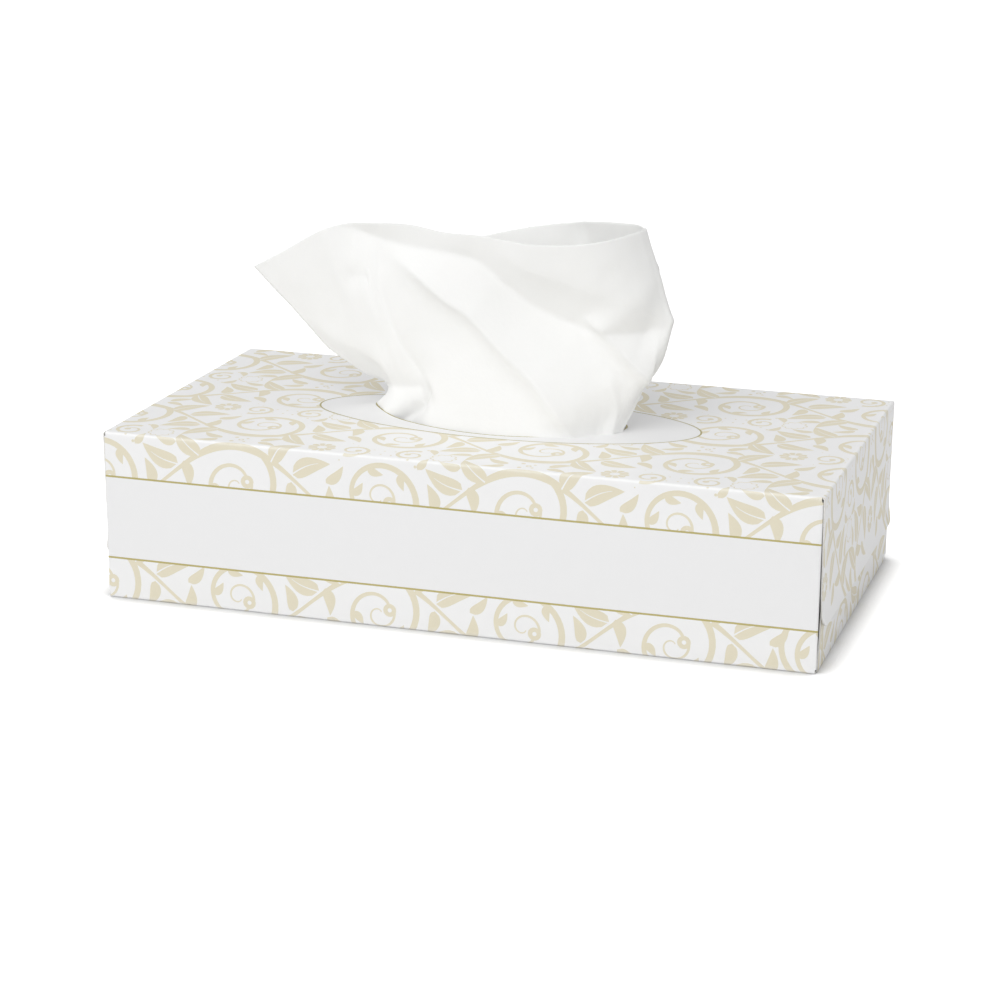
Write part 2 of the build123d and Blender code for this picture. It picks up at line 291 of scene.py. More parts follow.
@dataclass(frozen=True)
class RawBoard(Paint):
    """Uncoated inside and cut edge of the board, greyer and rougher."""

    rough: float = 0.78
    fibre_size: float = 0.0009
    fibre_depth: float = 0.00003
    fibre_stretch: tuple = (4.0, 1.0, 1.0)
    fibre_shade: float = 0.93
    fibre_rough: float = 0.12
    fleck_size: float = 0.0007
    fleck_shade: float = 0.72
    fleck_sharp: float = 6.0
    fleck_share: float = 3.0

    def make(self) -> bpy.types.Material:
        """Pressed recycled fibre with darker flecks.

        Returns:
            The material.
        """
        s = self.shader()
        fibre = s.grain(self.fibre_size, 4.0, self.fibre_stretch)
        fleck = s.grain(self.fleck_size, 1.0) ** self.fleck_sharp
        plain = s.blend(fibre, self.tint(self.fibre_shade), self.colour)
        return s.surface(
            Base_Color=s.blend(fleck * self.fleck_share, plain, self.tint(self.fleck_shade)),
            Roughness=self.rough + fibre * self.fibre_rough,
            Normal=s.bump(fibre, self.fibre_depth),
        )


@dataclass(frozen=True)
class SoftTissue(Paint):
    """Dry-creped tissue: white, matt, a little see-through, with fine crepe lines."""

    crepe_size: float = 0.00055
    crepe_depth: float = 0.000032
    crepe_stretch: tuple = (1.0, 1.0, 5.0)
    fibre_size: float = 0.0011
    fibre_shade: float = 0.97
    fibre_share: float = 0.3
    fibre_rough: float = 0.1
    fibre_bump: float = 1.3
    cloud_size: float = 0.012
    cloud_shade: float = 0.985
    gloss: float = 0.2
    rough: float = 0.88
    glow: float = 0.12
    glow_reach: float = 0.0008

    def make(self) -> bpy.types.Material:
        """Tissue with crepe lines, fibre clouds and soft inner light.

        Returns:
            The material.
        """
        s = self.shader()
        crepe = s.grain(self.crepe_size, 2.0, self.crepe_stretch)
        fibre = s.grain(self.fibre_size, 3.0)
        tone = s.blend(s.grain(self.cloud_size, 3.0), self.tint(self.cloud_shade), self.colour)
        return s.surface(
            Base_Color=s.blend(fibre * self.fibre_share, tone, self.tint(self.fibre_shade)),
            Roughness=self.rough + fibre * self.fibre_rough,
            Normal=s.bump(crepe, self.crepe_depth, s.bump(fibre, self.crepe_depth * self.fibre_bump)),
            Subsurface_Weight=self.glow,
            Subsurface_Radius=(1.0, 1.0, 1.0),
            Subsurface_Scale=self.glow_reach,
            Specular_IOR_Level=self.gloss,
        )


@dataclass(frozen=True)
class DriedGlue(Paint):
    """Dried carton glue, milky and slightly glossy."""

    rough: float = 0.3
    streak_size: float = 0.0012
    streak_depth: float = 0.00005
    streak_stretch: tuple = (6.0, 1.0, 1.0)
    streak_shade: float = 0.9
    streak_rough: float = 0.2

    def make(self) -> bpy.types.Material:
        """Glue with brush streaks.

        Returns:
            The material.
        """
        s = self.shader()
        streak = s.grain(self.streak_size, 3.0, self.streak_stretch)
        return s.surface(
            Base_Color=s.blend(streak, self.tint(self.streak_shade), self.colour),
            Roughness=self.rough + streak * self.streak_rough,
            Normal=s.bump(streak, self.streak_depth),
        )


class Finish(Enum):
    """Named finishes of the box."""

    BOARD = CoatedBoard("white_board", (0.905, 0.905, 0.905))
    FIELD = PrintedInk("pale_grey_field", (0.862, 0.862, 0.865), dots=0.01)
    RULE = PrintedInk("gold_rule_ink", (0.42, 0.36, 0.125), rough=0.36, sheen=0.30, dots=0.02)
    VINE = PrintedInk("beige_vine_ink", (0.775, 0.718, 0.555), dots=0.03)
    INSIDE = RawBoard("raw_board_inside", (0.70, 0.68, 0.63))
    EDGE = RawBoard("cut_board_edge", (0.82, 0.81, 0.78))
    TISSUE = SoftTissue("creped_tissue", (0.945, 0.947, 0.935))
    PILE = SoftTissue("stacked_tissue", (0.90, 0.90, 0.895), glow=0.08)
    GLUE = DriedGlue("dried_glue", (0.80, 0.77, 0.66))

    def material(self) -> bpy.types.Material:
        """The finish's material, made once."""
        return bpy.data.materials.get(self.value.name) or self.value.make()


# Meshes


def mesh_piece(
    name: str,
    points: np.ndarray,
    faces: np.ndarray | list,
    finish: Finish,
    normals: np.ndarray | None = None,
    crease: np.ndarray | None = None,
) -> bpy.types.Object:
    """Makes one piece that rides on the box.

    Args:
        name: Name of the piece.
        points: Points in millimetres.
        faces: Corner numbers of each face.
        finish: Its finish.
        normals: Normal at each point, or None for plain smooth shading.
        crease: How near each point is to a crease, from 0 to 1.

    Returns:
        The new object.
    """
    mesh = bpy.data.meshes.new(name)
    mesh.from_pydata((points * MM).tolist(), [], [list(map(int, f)) for f in faces])
    mesh.polygons.foreach_set("use_smooth", [True] * len(mesh.polygons))
    if crease is not None:
        mesh.attributes.new("crease", "FLOAT", "POINT").data.foreach_set("value", crease.astype(np.float32))
    mesh.update()
    if normals is not None:
        mesh.normals_split_custom_set_from_vertices(normals.tolist())
    mesh.materials.append(finish.material())
    piece = bpy.data.objects.new(name, mesh)
    bpy.context.scene.collection.objects.link(piece)
    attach(piece, "root")
    LOG.info("%s: %d points, %d faces, finish %s", name, len(points), len(faces), finish.name)
    return piece


def used_points(faces: np.ndarray, *arrays: np.ndarray) -> list[np.ndarray]:
    """Keeps only the points that some faces use.

    Args:
        faces: Corner numbers.
        *arrays: One row for each point.

    Returns:
        The renumbered faces, then each array cut down.
    """
    used, flat = np.unique(faces, return_inverse=True)
    return [flat.reshape(faces.shape)] + [a[used] for a in arrays]


def curve(knots: np.ndarray, rows: np.ndarray, at: np.ndarray, even: bool = True) -> np.ndarray:
    """Reads a curve through rows of points.

    Args:
        knots: Increasing places of the rows.
        rows: One row of values for each knot.
        at: Places to read.
        even: Whether it is a natural cubic spline, or else straight runs.

    Returns:
        One row of values for each place.
    """
    n = len(knots)
    gap = np.diff(knots)
    flat = rows.reshape(n, -1)
    slope = np.diff(flat, axis=0) / gap[:, None]
    bend = np.zeros_like(flat)
    if even:
        system = np.eye(n)
        for k in range(1, n - 1):
            system[k, k - 1 : k + 2] = gap[k - 1], 2 * (gap[k - 1] + gap[k]), gap[k]
            bend[k] = 6 * (slope[k] - slope[k - 1])
        bend = np.linalg.solve(system, bend)
    k = np.clip(np.searchsorted(knots, at, side="right") - 1, 0, n - 2)
    g = gap[k][:, None]
    a = (knots[k + 1] - at)[:, None] / g
    b = 1 - a
    out = a * flat[k] + b * flat[k + 1] + ((a**3 - a) * bend[k] + (b**3 - b) * bend[k + 1]) * g**2 / 6
    return out.reshape((len(at),) + rows.shape[1:])


def sheet_faces(rows: int, columns: int, first: int = 0) -> np.ndarray:
    """Faces of a thin sheet: a grid of points, then the same grid for its other side.

    Args:
        rows: Rows of points.
        columns: Points in a row.
        first: Number of the first point.

    Returns:
        Quads of both sides and of the edge between them.
    """
    i, j = np.meshgrid(np.arange(rows - 1), np.arange(columns - 1), indexing="ij")
    a = (i * columns + j).ravel()
    quads = np.stack([a, a + 1, a + columns + 1, a + columns], 1)
    n = rows * columns
    last = n - columns
    loop = np.concatenate([
        np.arange(columns), np.arange(2 * columns - 1, n, columns),
        np.arange(n - 2, last - 1, -1), np.arange(last - columns, 0, -columns),
    ])
    after = np.roll(loop, -1)
    wall = np.stack([after, loop, loop + n, after + n], 1)
    return np.concatenate([quads, quads[:, ::-1] + n, wall]) + first


def unit_normals(grid: np.ndarray) -> np.ndarray:
    """Unit normals of a grid of points."""
    normal = np.cross(np.gradient(grid, axis=1), np.gradient(grid, axis=0))
    return normal / (np.linalg.norm(normal, axis=2)[:, :, None] + 1e-12)


def smooth_step(share: np.ndarray) -> np.ndarray:
    """Eases from 0 to 1 with level ends."""
    held = np.clip(share, 0, 1)
    return held**2 * (3 - 2 * held)


def bell(at: np.ndarray, middle: float, spread: float) -> np.ndarray:
    """1 at the middle, fading out smoothly on both sides."""
    return np.exp(-(((at - middle) / spread) ** 2))


def dome(at: np.ndarray, middle: float, half: float) -> np.ndarray:
    """1 at the middle, falling to 0 at half a width from it."""
    return np.clip(1 - ((at - middle) / half) ** 2, 0, 1)


# The carton


@dataclass(frozen=True)
class Run:
    """One run of folded board: its length on the flat blank, and how far it turns."""

    span: float
    turn: float = 0.0
    radius: float = 0.85

    def step(self, s: np.ndarray, heading: float) -> tuple[np.ndarray, np.ndarray]:
        """Follows the run from its start.

        Args:
            s: Distances from its start.
            heading: Its way at the start, in radians, 0 along and positive down.

        Returns:
            Places (along, down) from its start, and the way at each.
        """
        theta = heading + math.radians(self.turn) * (s / self.span)
        if not self.turn:
            return s[:, None] * [math.cos(heading), math.sin(heading)], theta
        bend = math.copysign(1 / self.radius, self.turn)
        step = np.stack([np.sin(theta) - math.sin(heading), math.cos(heading) - np.cos(theta)], 1)
        return step / bend, theta


@dataclass
class FoldedPath:
    """Chain of runs that starts level and turns down as it goes along."""

    runs: tuple[Run, ...]

    def follow(self, s: np.ndarray) -> tuple[np.ndarray, np.ndarray]:
        """Folds places on the blank.

        Args:
            s: Distances along the flat blank.

        Returns:
            Places (along, down), and outward normals, one row each.
        """
        place = np.zeros((len(s), 2))
        normal = np.zeros((len(s), 2))
        start, at, heading = 0.0, np.zeros(2), 0.0
        for run in self.runs:
            here = s >= start - 1e-9
            step, theta = run.step(s[here] - start, heading)
            place[here] = at + step
            normal[here] = np.stack([np.sin(theta), -np.cos(theta)], 1)
            at = at + run.step(np.array([run.span]), heading)[0][0]
            start += run.span
            heading += math.radians(run.turn)
        return place, normal


class Motif(Enum):
    """What an outline on the blank does."""

    BLANK, HOLE, LENS_RULE, OVAL_RULE, OVAL_FIELD, BAND_RULE, INK, BARE = range(8)


class Skin(Enum):
    """What a triangle of the printed side shows: its piece, finish, slot and solid node."""

    BOARD = ("carton_board", Finish.BOARD, "carton_board", "carton")
    FIELD = ("bare_fields", Finish.FIELD, "field_ink", "printed_fields")
    RULE = ("gold_rules", Finish.RULE, "rule_ink", "printed_rules")
    VINE = ("vine_print", Finish.VINE, "vine_ink", "printed_vine")


@dataclass
class VinePattern:
    """Scrolling vine in bays and rows, in millimetres on the flat blank.

    Leaves are given by place, the angle of the tip in degrees, length and width.
    Curls are given by place, first angle, first and last radius, turn and width,
    daisies by place, diameter, petals and whether they are hollow.
    A leaf's shape is where it is widest, how blunt it is and its lower half's share,
    and its rib is where that ends, its lift and its width. A curl's shape is its taper
    and its bud's share, its pace the fewest points and the degrees from one to the next.
    A petal's shape is its base, its rise and its bluntness.
    """

    pitch: float = 48.0
    row_spacing: float = 38.0
    wave: float = 12.96
    stem: tuple = (1.1, 1.9)
    fork: float = 0.20
    curl_end: float = 4.32
    curl_turn: float = 390.0
    curl_width: tuple = (2.3, 1.4)
    bud: float = 4.4
    big_leaves: tuple = (
        (17.0, 13.4, 48.0, 13.5, 6.4), (-16.6, 13.9, 130.0, 13.5, 6.4),
        (-25.9, 8.2, 155.0, 13.5, 6.4), (26.0, 7.4, 20.0, 13.5, 6.4),
    )
    small_leaves: tuple = (
        (-16.9, 1.9, -80.0, 9.2, 4.2), (-14.2, -6.4, -46.0, 8.4, 3.6), (17.9, -1.8, -106.0, 9.2, 4.2),
        (-24.0, 13.4, 165.0, 7.6, 3.2), (14.8, -13.4, -64.0, 6.4, 2.8),
    )
    crest_leaves: tuple = (
        (-10.6, 21.9, 148.0, 8.8, 3.6), (-11.0, 16.3, 204.0, 7.8, 3.2),
        (9.8, 21.8, 34.0, 8.4, 3.4), (9.6, 16.2, -22.0, 7.2, 3.0),
    )
    crest_curls: tuple = (
        (38.6, 18.8, 250.0, 5.6, 1.4, 470.0, 1.5), (-38.6, 19.2, 70.0, 5.4, 1.4, 450.0, 1.5)
    )
    tail: tuple = (0.6, -0.4)
    tail_curl: tuple = (1.1, -330.0, 0.9)
    daisies: tuple = ((27.6, 19.0, 9.2, 10, False), (-27.8, 19.0, 8.8, 9, True))
    spots: tuple = ((-2.4, 16.6, 1.5, 8), (1.6, 17.2, 1.1, 8))
    crest_ring: tuple = (0.0, 19.0, 2.0, 1.0)
    curl_leaf: tuple = (2.9, 5.6, 2.9)
    curl_leaf_steps: tuple = (11, 18, 26)
    dotted_arc: tuple = (17.0, 222, 12, 9)
    dot_size: tuple = (0.5, 0.07)
    leaf_bow: float = 0.09
    leaf_shape: tuple = (0.62, 0.85, 0.86)
    leaf_points: int = 11
    rib: tuple = (0.72, 0.02, 0.5)
    curl_shape: tuple = (0.62, 1.5)
    curl_pace: tuple = (14, 11)
    curl_leaf_lead: float = 0.9
    bud_eye: float = 0.34
    tail_gap: float = 1.0
    petal_shape: tuple = (0.80, 0.20, 0.7)
    petal_points: int = 6
    petal_line: float = 0.45
    petal_slits: tuple = ((0.20, 0.40), (0.12, 0.42))
    daisy_eyes: tuple = (0.36, 0.24)
    hollow_eye: float = 0.30

    def stroke(self, points: np.ndarray, widths: np.ndarray, motif: Motif = Motif.INK) -> list:
        """Line whose width changes along it.

        Args:
            points: Places along the middle of the line.
            widths: Width at each place.
            motif: What it does.

        Returns:
            Its one shape.
        """
        run = np.gradient(points, axis=0)
        run /= np.linalg.norm(run, axis=1)[:, None]
        across = np.stack([-run[:, 1], run[:, 0]], 1) * widths[:, None] / 2
        return [(motif, np.concatenate([points + across, (points - across)[::-1]]))]

    def disc(self, x: float, y: float, size: float, sides: int = 12, motif: Motif = Motif.INK) -> list:
        """Round spot of a given diameter."""
        turn = np.arange(sides) * 2 * math.pi / sides
        return [(motif, np.stack([x + size / 2 * np.cos(turn), y + size / 2 * np.sin(turn)], 1))]

    def leaf(self, x: float, y: float, angle: float, length: float, width: float) -> list:
        """Pointed leaf, split along its midrib.

        Args:
            x: Place of its middle.
            y: Place of its middle.
            angle: Way its tip points, in degrees.
            length: Length.
            width: Greatest width.

        Returns:
            The leaf and the bare line of its midrib.
        """
        widest, blunt, lower_share = self.leaf_shape
        rib_end, rib_lift, rib_width = self.rib
        t = np.linspace(0, 1, self.leaf_points)
        half = width * 0.5 * np.sin(math.pi * t**widest) ** blunt
        middle = self.leaf_bow * length * np.sin(math.pi * t)
        upper = np.stack([(t - 0.5) * length, middle + half], 1)
        lower = np.stack([(t - 0.5) * length, middle - half * lower_share], 1)
        outline = np.concatenate([upper, lower[-2:0:-1]])
        t = np.linspace(0.0, rib_end, 7)
        lift = self.leaf_bow * length * np.sin(math.pi * t) + rib_lift * length
        rib = np.stack([(t - 0.5) * length, lift], 1)
        made = [(Motif.INK, outline)] + self.stroke(rib, rib_width * (1 - t), Motif.BARE)
        a = math.radians(angle)
        turn = np.array([[math.cos(a), math.sin(a)], [-math.sin(a), math.cos(a)]])
        return [(motif, shape @ turn + np.array([x, y])) for motif, shape in made]

    def daisy(self, x: float, y: float, size: float, petals: int, hollow: bool) -> list:
        """Round flower of many petals.

        Args:
            x: Place of its middle.
            y: Place of its middle.
            size: Diameter.
            petals: Number of petals.
            hollow: Whether its petals are outlines only.

        Returns:
            Its shapes.
        """
        base, rise, blunt = self.petal_shape
        turn = np.linspace(0, 2 * math.pi, petals * self.petal_points, endpoint=False)
        reach = size / 2 * (base + rise * np.abs(np.cos(turn * petals / 2)) ** blunt)
        ring = np.stack([np.cos(turn), np.sin(turn)], 1)
        place = np.array([x, y])
        made = [(Motif.INK, ring * reach[:, None] + place)]
        if hollow:
            made.append((Motif.BARE, ring * (reach - self.petal_line)[:, None] + place))
            return made + self.disc(x, y, size * self.hollow_eye)
        (near, far), widths = self.petal_slits
        for k in range(petals):
            a = (k + 0.5) * 2 * math.pi / petals
            way = np.array([math.cos(a), math.sin(a)])
            slit = np.array([way * size * near, way * size * far]) + place
            made += self.stroke(slit, np.array(widths), Motif.BARE)
        gap, eye = self.daisy_eyes
        return made + self.disc(x, y, size * gap, motif=Motif.BARE) + self.disc(x, y, size * eye)

    def curl(
        self, x: float, y: float, start: float, reach: float, end: float, turn: float, wide: float
    ) -> list:
        """Tendril that winds in to a small bud.

        Args:
            x: Place of its middle.
            y: Place of its middle.
            start: Angle at which it starts, in degrees.
            reach: Radius at its start.
            end: Radius at its bud.
            turn: How far it winds, in degrees, positive anticlockwise.
            wide: Width at its start.

        Returns:
            The tendril and its bud.
        """
        taper, bud = self.curl_shape
        fewest, pace = self.curl_pace
        share = np.linspace(0, 1, max(fewest, int(abs(turn) / pace)))
        a = np.radians(start + turn * share)
        r = reach + (end - reach) * share
        line = np.stack([x + r * np.cos(a), y + r * np.sin(a)], 1)
        return self.stroke(line, wide * (1 - taper * share)) + self.disc(*line[-1], wide * bud, 10)

    def bay(self, first: bool) -> list:
        """One bay of the vine, its crest upwards.

        Args:
            first: Whether this bay also carries the flowers between the rows.

        Returns:
            Its shapes.
        """
        share = np.linspace(-0.5, 0.5, 25)
        line = np.stack([share * self.pitch, self.wave * np.cos(math.pi * share)], 1)
        made = self.stroke(line, self.stem[0] + self.stem[1] * np.cos(math.pi * share) ** 2)
        x0, y0 = self.fork * self.pitch, self.wave * math.cos(math.pi * self.fork)
        reach = math.hypot(x0, y0)
        t = np.linspace(0, 1, 46)
        a = np.radians(math.degrees(math.atan2(y0, x0)) - self.curl_turn * t)
        r = reach + (self.curl_end - reach) * t
        curl = np.stack([r * np.cos(a), r * np.sin(a)], 1)
        made += self.stroke(curl, self.curl_width[0] - self.curl_width[1] * t)
        made += self.disc(*curl[-1], self.bud, 14)
        made += self.disc(*curl[-1], self.bud * self.bud_eye, 8, Motif.BARE)
        for place in self.big_leaves:
            made += self.leaf(*place)
        for place in self.small_leaves:
            made += self.leaf(*place)[:1]
        made += self.curl(*self.tail, math.degrees(a[-1]), self.curl_end + self.tail_gap, *self.tail_curl)[:1]
        stalk, *leaf_size = self.curl_leaf
        for k in self.curl_leaf_steps:
            out = a[k] - self.curl_leaf_lead
            way = -np.array([math.cos(out), math.sin(out)])
            angle = math.degrees(math.atan2(way[1], way[0]))
            made += self.leaf(*(curl[k] + way * stalk), angle, *leaf_size)[:1]
        radius, start, gap, count = self.dotted_arc
        size, grow = self.dot_size
        for k in range(count):
            turn = math.radians(start + gap * k)
            made += self.disc(radius * math.cos(turn), radius * math.sin(turn), size + grow * k, 6)
        for place in self.spots:
            made += self.disc(*place)
        if first:
            for place in self.daisies:
                made += self.daisy(*place)
            for place in self.crest_curls:
                made += self.curl(*place)
            for place in self.crest_leaves:
                made += self.leaf(*place)[:1]
            x, y, size, hole = self.crest_ring
            made += self.disc(x, y, size, 10) + self.disc(x, y, hole, 8, Motif.BARE)
        return made

    def cover(self, u_half: float, v_half: float) -> list:
        """Bays that cover a sheet, each the other way up from the last.

        Args:
            u_half: Half the sheet's length.
            v_half: Half the sheet's width.

        Returns:
            All shapes on the sheet.
        """
        made = []
        bays = math.ceil(u_half / self.pitch)
        rows = math.ceil(v_half / self.row_spacing)
        for row in range(-rows, rows + 1):
            for k in range(-bays, bays):
                down = (k + row) % 2
                flip = np.array([1, -1 if down else 1])
                move = np.array([(k + 0.5) * self.pitch, row * self.row_spacing])
                made += [(motif, shape * flip + move) for motif, shape in self.bay(not down)]
        return made


@dataclass
class FoldedCarton:
    """The carton as one sheet of board, cut, printed flat and folded.

    All sizes are millimetres on the flat blank, u along it and v across it.
    The opening is half its length, half its width, the radius of its tips and its shift.
    A bulge or sag is its height, the height of the waves on it, then where it starts or
    how far it reaches; a wave is its pace along the blank, where it starts and its pace across.
    The print on a lower flap is the half of the pattern that is laid for it, the least and the
    most that a shape on it reaches across, and how far along. The opening's points are those of a
    tip and of a side, and one in how many has a tie.
    """

    length: float = 236.0
    width: float = 125.0
    height: float = 56.0
    board: float = 0.45
    corner: float = 0.85
    tube_end: float = 117.05
    outer_lead: float = 0.10
    outer_wall: float = 32.15
    outer_curl: Run = Run(9.0, -15.2, 34.1)
    lower_lead: float = 0.02
    lower_reach: float = 40.15
    tight_corner: float = 0.45
    flap_side: float = 62.2
    lower_side_gap: float = 1.2
    lower_taper: float = 3.0
    flap_half: float = 61.65
    flap_tip: float = 41.9
    flap_blunt: float = 4.0
    outer_taper: float = 1.8
    outer_relief: float = 0.3
    dust_reach: float = 45.15
    dust_taper: float = 7.0
    dust_relief: float = 0.5
    dust_sides: tuple = (64.0, 117.0)
    lower_back: float = 61.0
    seam_reach: float = 13.15
    seam_taper: float = 5.2
    back_lap: float = 0.55
    opening: tuple = (47.8, 21.7, 6.5, -1.5)
    opening_ties: float = 0.16
    right_share: float = 0.89
    oval: tuple = (65.4, 26.2)
    oval_core: tuple = (64.0, 25.0)
    rule: float = 0.62
    band: tuple = (13.75, 41.25)
    band_lap: float = 1.2
    band_core: float = 1.0
    print_end: float = 154.0
    print_slack: float = 0.1
    tube_slack: float = 0.15
    flap_print: tuple = (20.0, 0.9, 16.0, 60.0)
    curl_lines: tuple = (33.0, 60.2)
    margin: float = 0.02
    guard: float = 0.9
    end_guards: tuple = (0.32, 3.2)
    rub_reach: tuple = (1.25, 1.2)
    grid: float = 6.0
    grid_area: tuple = ((-156, 157), (-252, 117))
    grid_shift: tuple = (0.013, 0.017)
    turn_points: int = 7
    curl_points: int = 6
    opening_points: tuple = (9, 97, 3)
    oval_points: int = 160
    sag: tuple = (0.55, 0.25, 117.0)
    sag_wave: tuple = (0.041, 0.9, 0.07, -0.6)
    side_bulge: tuple = (0.28, 0.22, 116.0, 27.0)
    side_wave: tuple = (0.05, 2.1, 0.03)
    outer_bulge: tuple = (0.35, 119.0, 40.0)
    outer_wave: tuple = (0.055, 0.8, 0.4)
    dust_lean: tuple = (0.75, 1.8)
    lower_rise: tuple = (0.3, 1.0, 15.0)
    lip: tuple = (1.8, -47.0, 9.0, -4.0, 9.5)

    def __post_init__(self) -> None:
        """Works out the runs of board round the box and along each flap."""
        fold = Run(2 * self.corner, 90.0, self.corner)
        tight = Run(self.corner * math.pi / 2, 90.0, self.corner)
        wall = self.height - 2 * self.corner
        self.half = self.width / 2
        self.foot_line = self.half + self.height
        self.fold_v = self.flap_half, self.flap_half + fold.span
        self.foot_v = self.fold_v[1] + wall, self.fold_v[1] + wall + fold.span
        bottom = self.flap_half + self.lower_back
        self.seam_v = self.foot_v[1] + bottom, self.foot_v[1] + bottom + tight.span
        top, seam = Run(self.flap_half), Run(self.seam_reach)
        self.front_path = FoldedPath((top, fold, Run(wall), fold, Run(bottom), tight, seam))
        self.back_path = FoldedPath((top, fold, Run(wall + self.back_lap)))
        self.outer_path = FoldedPath((Run(self.outer_lead), fold, Run(self.outer_wall), self.outer_curl))
        self.tight_turn = self.tight_corner * math.pi / 2
        turned = Run(self.tight_turn, 90.0, self.tight_corner)
        self.dust_path = FoldedPath((turned, Run(self.dust_reach)))
        self.lower_path = FoldedPath((Run(self.lower_lead), turned, Run(self.lower_reach)))

    def swell(self, u: np.ndarray, v: np.ndarray) -> np.ndarray:
        """How far the board stands out from its flat panels.

        Args:
            u: Places along the blank.
            v: Places across the blank.

        Returns:
            Height out of the panel at each place, in millimetres.
        """
        a = np.abs(v)
        reach = np.abs(u) - self.tube_end - self.tight_turn
        lower = v <= -self.foot_line
        sag, waves, span = self.sag
        pace_u, turn_u, pace_v, turn_v = self.sag_wave
        top = dome(v, 0, self.flap_half) * dome(u, 0, span)
        out = -sag * top + waves * top * np.sin(pace_u * u + turn_u) * np.cos(pace_v * v + turn_v)
        bulge, waves, span_u, span_v = self.side_bulge
        pace_u, turn, pace_v = self.side_wave
        side = dome(a, self.half + self.height / 2, span_v) * dome(u, 0, span_u)
        out = out + side * (bulge + waves * np.sin(pace_u * u + turn + pace_v * v))
        bulge, start, span = self.outer_bulge
        pace, turn, side_turn = self.outer_wave
        past = np.clip((np.abs(u) - start) / span, 0, 1) * (a < self.fold_v[1])
        out = out + past * bulge * (1 + np.sin(pace * v + turn + side_turn * np.sign(u)))
        depth, span = self.dust_lean
        out = out - depth * smooth_step(reach / span) * ((a > self.fold_v[1]) & ~lower)
        height, start, span = self.lower_rise
        out = out + height * np.sin(0.5 * math.pi * np.clip((reach - start) / span, 0, 1)) * lower
        height, u0, u_size, v0, v_size = self.lip
        return out + height * np.exp(-(((u - u0) / u_size) ** 2) - (((v - v0) / v_size) ** 2))

    def fold(self, u: np.ndarray, v: np.ndarray) -> tuple[np.ndarray, np.ndarray]:
        """Folds places on the printed side of the blank.

        Args:
            u: Places along the blank.
            v: Places across it, 0 in the middle of the top and below 0 at the front.

        Returns:
            Places in millimetres and outward normals.
        """
        back = v > 0
        both = zip(self.front_path.follow(np.abs(v)), self.back_path.follow(np.abs(v)))
        place, normal = (np.where(back[:, None], behind, front) for front, behind in both)
        side_v = np.where(back, 1.0, -1.0)
        none = np.zeros_like(u)
        out = np.stack([none, side_v * normal[:, 0], -normal[:, 1]], 1)
        base = np.stack([u, side_v * place[:, 0], self.height - place[:, 1]], 1)
        across = np.stack([none, -normal[:, 1], -side_v * normal[:, 0]], 1)
        x_axis = np.array([1.0, 0.0, 0.0])
        along = np.tile(x_axis, (len(u), 1))
        side_u = np.where(u > 0, 1.0, -1.0)
        reach = np.abs(u) - self.tube_end
        past = reach > FLOAT_SLACK
        down = -out
        outer = np.abs(v) < self.fold_v[1]
        lower = v <= -self.foot_line
        flap = past & outer
        base[flap, 1:] = np.stack([v[flap], np.full(flap.sum(), self.height)], 1)
        down[flap] = [0.0, 0.0, -1.0]
        zones = (
            (self.outer_path, outer),
            (self.dust_path, (np.abs(v) > self.fold_v[1]) & ~lower),
            (self.lower_path, lower),
        )
        for path, where in zones:
            here = past & where
            step, turned = path.follow(reach[here])
            sign = side_u[here][:, None]
            x_way = x_axis * sign
            base[here, 0] = sign[:, 0] * self.tube_end
            base[here] += step[:, :1] * x_way + step[:, 1:] * down[here]
            along[here] = -turned[:, 1:] * x_axis + turned[:, :1] * down[here] * sign
            out[here] = turned[:, :1] * x_way + turned[:, 1:] * down[here]
        d = SLOPE_STEP
        slope_u = (self.swell(u + d, v) - self.swell(u - d, v)) / (2 * d)
        slope_v = (self.swell(u, v + d) - self.swell(u, v - d)) / (2 * d)
        bent = out - slope_u[:, None] * along - slope_v[:, None] * across
        bent /= np.linalg.norm(bent, axis=1)[:, None]
        return base + self.swell(u, v)[:, None] * out, bent

    def tip(self, u: float, v_low: float, v_high: float, taper: float) -> list:
        """Tapered, blunted end of a flap.

        Args:
            u: Where the flap ends.
            v_low: Its lower side at the root.
            v_high: Its upper side at the root.
            taper: How much each side comes in.

        Returns:
            Corners from the lower side to the upper one.
        """
        turn = np.linspace(0, math.pi / 2, self.turn_points)
        r = self.flap_blunt
        low = [(u - r + r * math.sin(t), v_low + taper + r - r * math.cos(t)) for t in turn]
        high = [(u - r + r * math.cos(t), v_high - taper - r + r * math.sin(t)) for t in turn]
        return low + high

    def blank(self) -> np.ndarray:
        """Lays out the whole blank.

        Returns:
            Its outline, anticlockwise.
        """
        end, flap = self.tube_end, self.flap_side
        lower_tip = end + self.lower_lead + self.tight_turn + self.lower_reach
        dust_tip = end + self.tight_turn + self.dust_reach
        (fold_0, fold_1), (foot_0, foot_1), (seam_0, seam_1) = self.fold_v, self.foot_v, self.seam_v
        wall, foot = fold_1 + self.dust_relief, foot_0 - self.dust_relief
        low, high = self.lower_side_gap - seam_0, -foot_1 - self.lower_side_gap
        root, outer_tip = end + self.outer_relief, self.length / 2 + self.flap_tip
        right = [(end - self.seam_taper, -seam_1 - self.seam_reach), (end, -seam_1), (end, -seam_0)]
        right += [(end, low)] + self.tip(lower_tip, low, high, self.lower_taper) + [(end, high)]
        right += [(end, -foot_1), (end, -foot_0)]
        right += [(end, -foot)] + self.tip(dust_tip, -foot, -wall, self.dust_taper) + [(end, -wall)]
        right += [(end, -fold_1), (end, -fold_0)]
        right += [(root, -flap)] + self.tip(outer_tip, -flap, flap, self.outer_taper) + [(root, flap)]
        right += [(end, fold_0), (end, fold_1), (end, wall)]
        right += self.tip(dust_tip, wall, foot, self.dust_taper)
        right += [(end, foot), (end, foot_0 + self.back_lap)]
        right = np.array(right)
        return np.concatenate([right, (right * [-1, 1])[::-1]])

